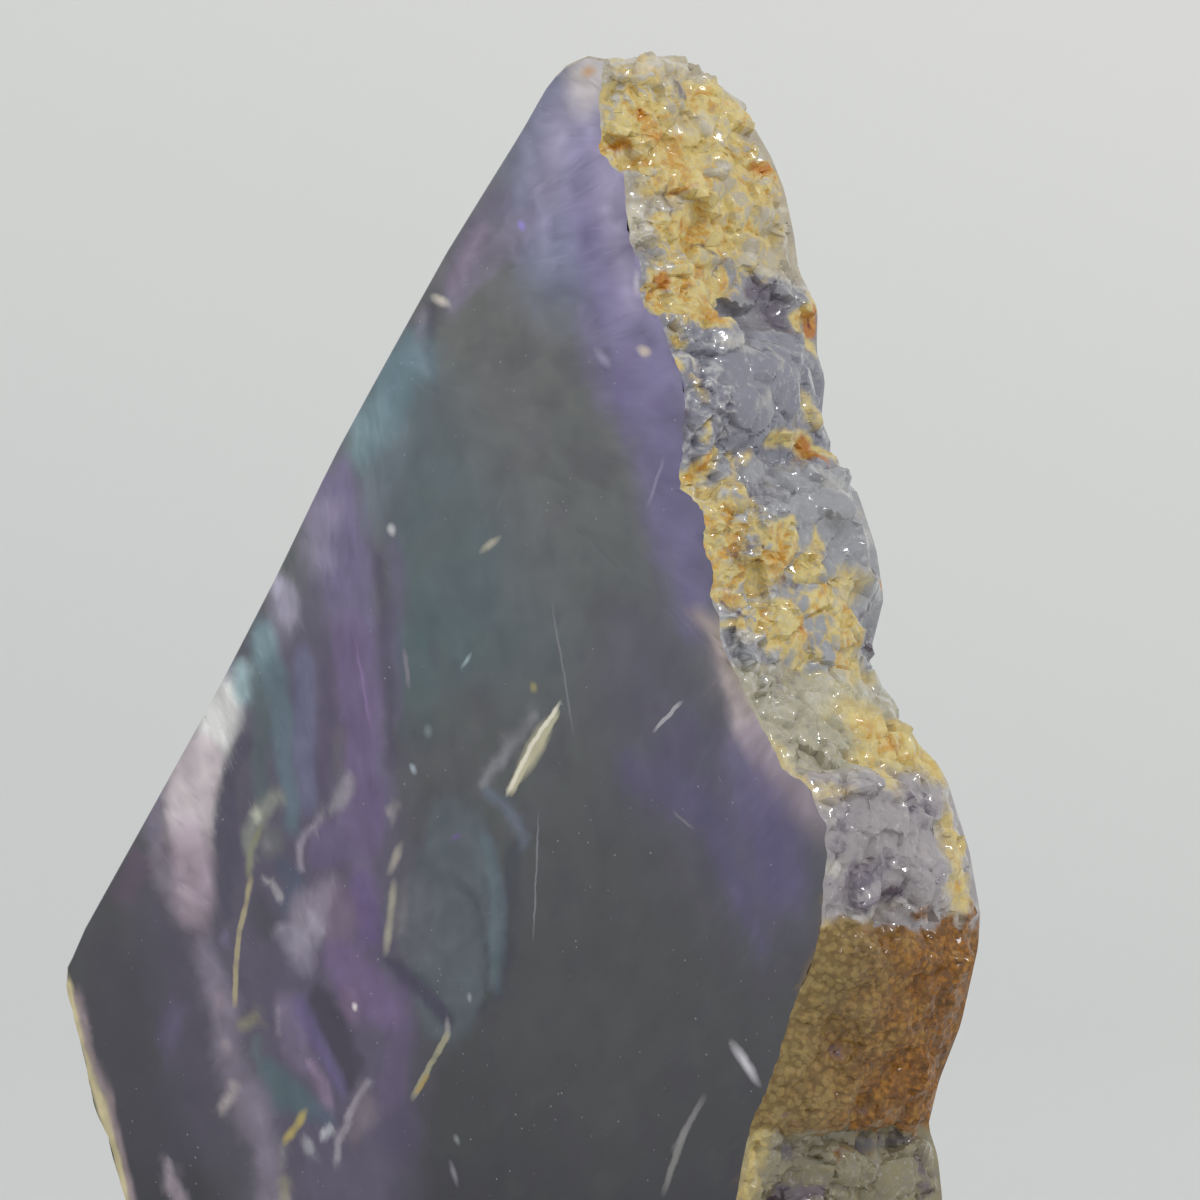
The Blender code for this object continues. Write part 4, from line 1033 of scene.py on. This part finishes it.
def workCrust(points, druse, smooth, settings):
    # how far each point of the crust moves along its normal, in mm, and how hollow and how high it lies
    quiet = 1.0 - 0.75 * smooth
    big, bigCrease = facets(points, settings["bigFacet"], 3.0, 0.16)
    small, smallCrease = facets(points, settings["smallFacet"], 11.0, 0.22)
    strip = smoothStep(settings["strip"] + 1.2, settings["strip"] - 0.4, points[:, 1])
    strip = strip * smoothStep(settings["stripFrom"], settings["stripWholeFrom"], points[:, 2])
    folds = np.abs(cloud(points, settings["crinkle"], 21.0, 2, (1.0, 1.0, 1.3)))
    relief = settings["bigTilt"] * big * (1.0 - 0.4 * bigCrease) - settings["bigGroove"] * bigCrease
    relief = relief * (0.4 + 0.6 * quiet) * (1.0 - 0.7 * druse)
    smaller = settings["smallTilt"] * small - settings["smallGroove"] * smallCrease
    relief = relief + smaller * quiet * (1.0 - 0.6 * druse)
    relief = relief + settings["crinkleHeight"] * (0.5 - 2.2 * folds) * strip
    relief = relief + settings["ruffleHeight"] * cloud(points, settings["ruffle"], 7.0, 2) * quiet
    gaps = np.array([noise.voronoi(Vector(point) / settings["grain"])[0][0] for point in points])
    relief = relief + settings["grainHeight"] * (0.7 - 1.3 * gaps) * druse
    hollow = np.maximum(0.6 * bigCrease, 0.8 * smallCrease) * quiet
    hollow = np.maximum(hollow, smoothStep(0.14, 0.32, folds) * strip)
    # the ridges of the crinkled strip, where the material paints a highlight
    ridgeHighlight = smoothStep(0.12, 0.02, folds) * strip
    return relief, hollow, ridgeHighlight


def shapeCrust(around, outward, relief, onEdge, settings):
    # the crust's points after their relief, which dies out towards the flat sides
    fade = smoothStep(0.0, settings["fadeAtBase"], around[:, 2])
    fade = fade * smoothStep(0.0, settings["fadeAtBack"], backY - around[:, 1])
    fade = fade * (0.45 + 0.55 * smoothStep(0.0, settings["fadeAtFront"], around[:, 1] - faceY))
    relief = relief * fade * np.where(around[:, 0] < settings["skinLeftOf"], 0.5, 1.0)
    relief = np.where(onEdge, np.clip(relief, settings["edgeIn"], settings["edgeOut"]), relief)
    outward[onEdge, 1] = 0.0
    outward = outward / np.maximum(np.linalg.norm(outward, axis=1), 1e-3)[:, None]
    moved = around + outward * relief[:, None]
    moved[:, 1] = np.clip(moved[:, 1], faceY, backY)
    moved[:, 2] = np.maximum(moved[:, 2], 0.0)
    return moved


def easedCopy(settings):
    # the solid's own mesh with its polished edge eased: points in mm, triangles and their sides
    low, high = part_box(settings["node"])
    bm = bmesh.new()
    bm.from_mesh(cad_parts[settings["node"]].data)
    bmesh.ops.remove_doubles(bm, verts=bm.verts, dist=settings["mergeGap"])
    bm.normal_update()
    for face in bm.faces:
        face.material_index = sideKinds.index(sideOf(face, low, high))
    front = [face for face in bm.faces if face.material_index == frontKind]
    ringed = bmesh.ops.inset_region(bm, faces=front, thickness=settings["polishedBevel"] * mm,
                                    use_even_offset=True, use_boundary=True)["faces"]
    inner = {vert for face in front for vert in face.verts}
    for vert in {vert for face in ringed for vert in face.verts} - inner:
        vert.co.y += settings["polishedBevel"] * mm
    ringSet = set(ringed)
    for face in ringed:
        outer = [other.material_index for edge in face.edges for other in edge.link_faces
                 if other not in ringSet and other.material_index != frontKind]
        face.material_index = outer[0] if outer else crustKind
    bmesh.ops.triangulate(bm, faces=bm.faces)
    bm.verts.index_update()
    points = np.array([vert.co for vert in bm.verts]) / mm
    triangles = np.array([[vert.index for vert in face.verts] for face in bm.faces])
    kinds = np.array([face.material_index for face in bm.faces])
    bm.free()
    return points, triangles, kinds


def makeSlab(settings):
    points, triangles, kinds = refine(*easedCopy(settings))
    mesh = bpy.data.meshes.new("fluoriteSlab")
    mesh.from_pydata(points * mm, [], triangles.tolist())
    mesh.update()
    normals = np.empty(len(points) * 3)
    mesh.vertex_normals.foreach_get("vector", normals)
    rough = np.isin(kinds, (crustKind, skinKind))
    crustPart, stonePart = np.zeros(len(points), bool), np.zeros(len(points), bool)
    crustPart[triangles[rough].ravel()] = True
    stonePart[triangles[~rough].ravel()] = True
    names = ("stone", "crustStone", "crustMarks", "crustZones")
    layers = {name: np.zeros((len(points), 4)) for name in names}
    layers["stone"][stonePart, :3] = paintStone(points[stonePart])
    layers["stone"][:, 3] = smoothStep(0.3, 0.8, points[:, 1] - faceY)      # 1 away from the polish
    print("stone painted")
    around = points[crustPart]
    colour, masks, druse, smooth, crease = paintCrust(around)
    print("crust painted")
    relief, hollow, ridgeHighlight = workCrust(around, druse, smooth, settings)
    layers["crustStone"][crustPart] = np.column_stack([colour, smooth])
    layers["crustMarks"][crustPart] = np.column_stack(masks)
    layers["crustZones"][crustPart] = np.column_stack([druse, crease, ridgeHighlight, hollow])
    onEdge = stonePart[crustPart] | (around[:, 1] < faceY + settings["edgeBand"])
    outward = normals.reshape(-1, 3)[crustPart]
    points[crustPart] = shapeCrust(around, outward, relief, onEdge, settings)
    mesh.vertices.foreach_set("co", (points * mm).ravel())
    mesh.polygons.foreach_set("material_index", rough.astype(np.int32))
    mesh.polygons.foreach_set("use_smooth", rough)
    mesh.update()
    print("crust worked:", len(triangles), "faces")
    mesh.set_sharp_from_angle(angle=math.radians(settings["sharpAngle"]))
    for name, layer in layers.items():
        mesh.color_attributes.new(name, "FLOAT_COLOR", "POINT").data.foreach_set("color", layer.ravel())
    piece = bpy.data.objects.new("fluoriteSlab", mesh)
    bpy.context.scene.collection.objects.link(piece)
    mesh.materials.append(makeFaceMaterial())
    mesh.materials.append(makeCrustMaterial())
    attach(piece, "root")
    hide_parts(settings["node"])


makeSlab(slab)
print("slab made")
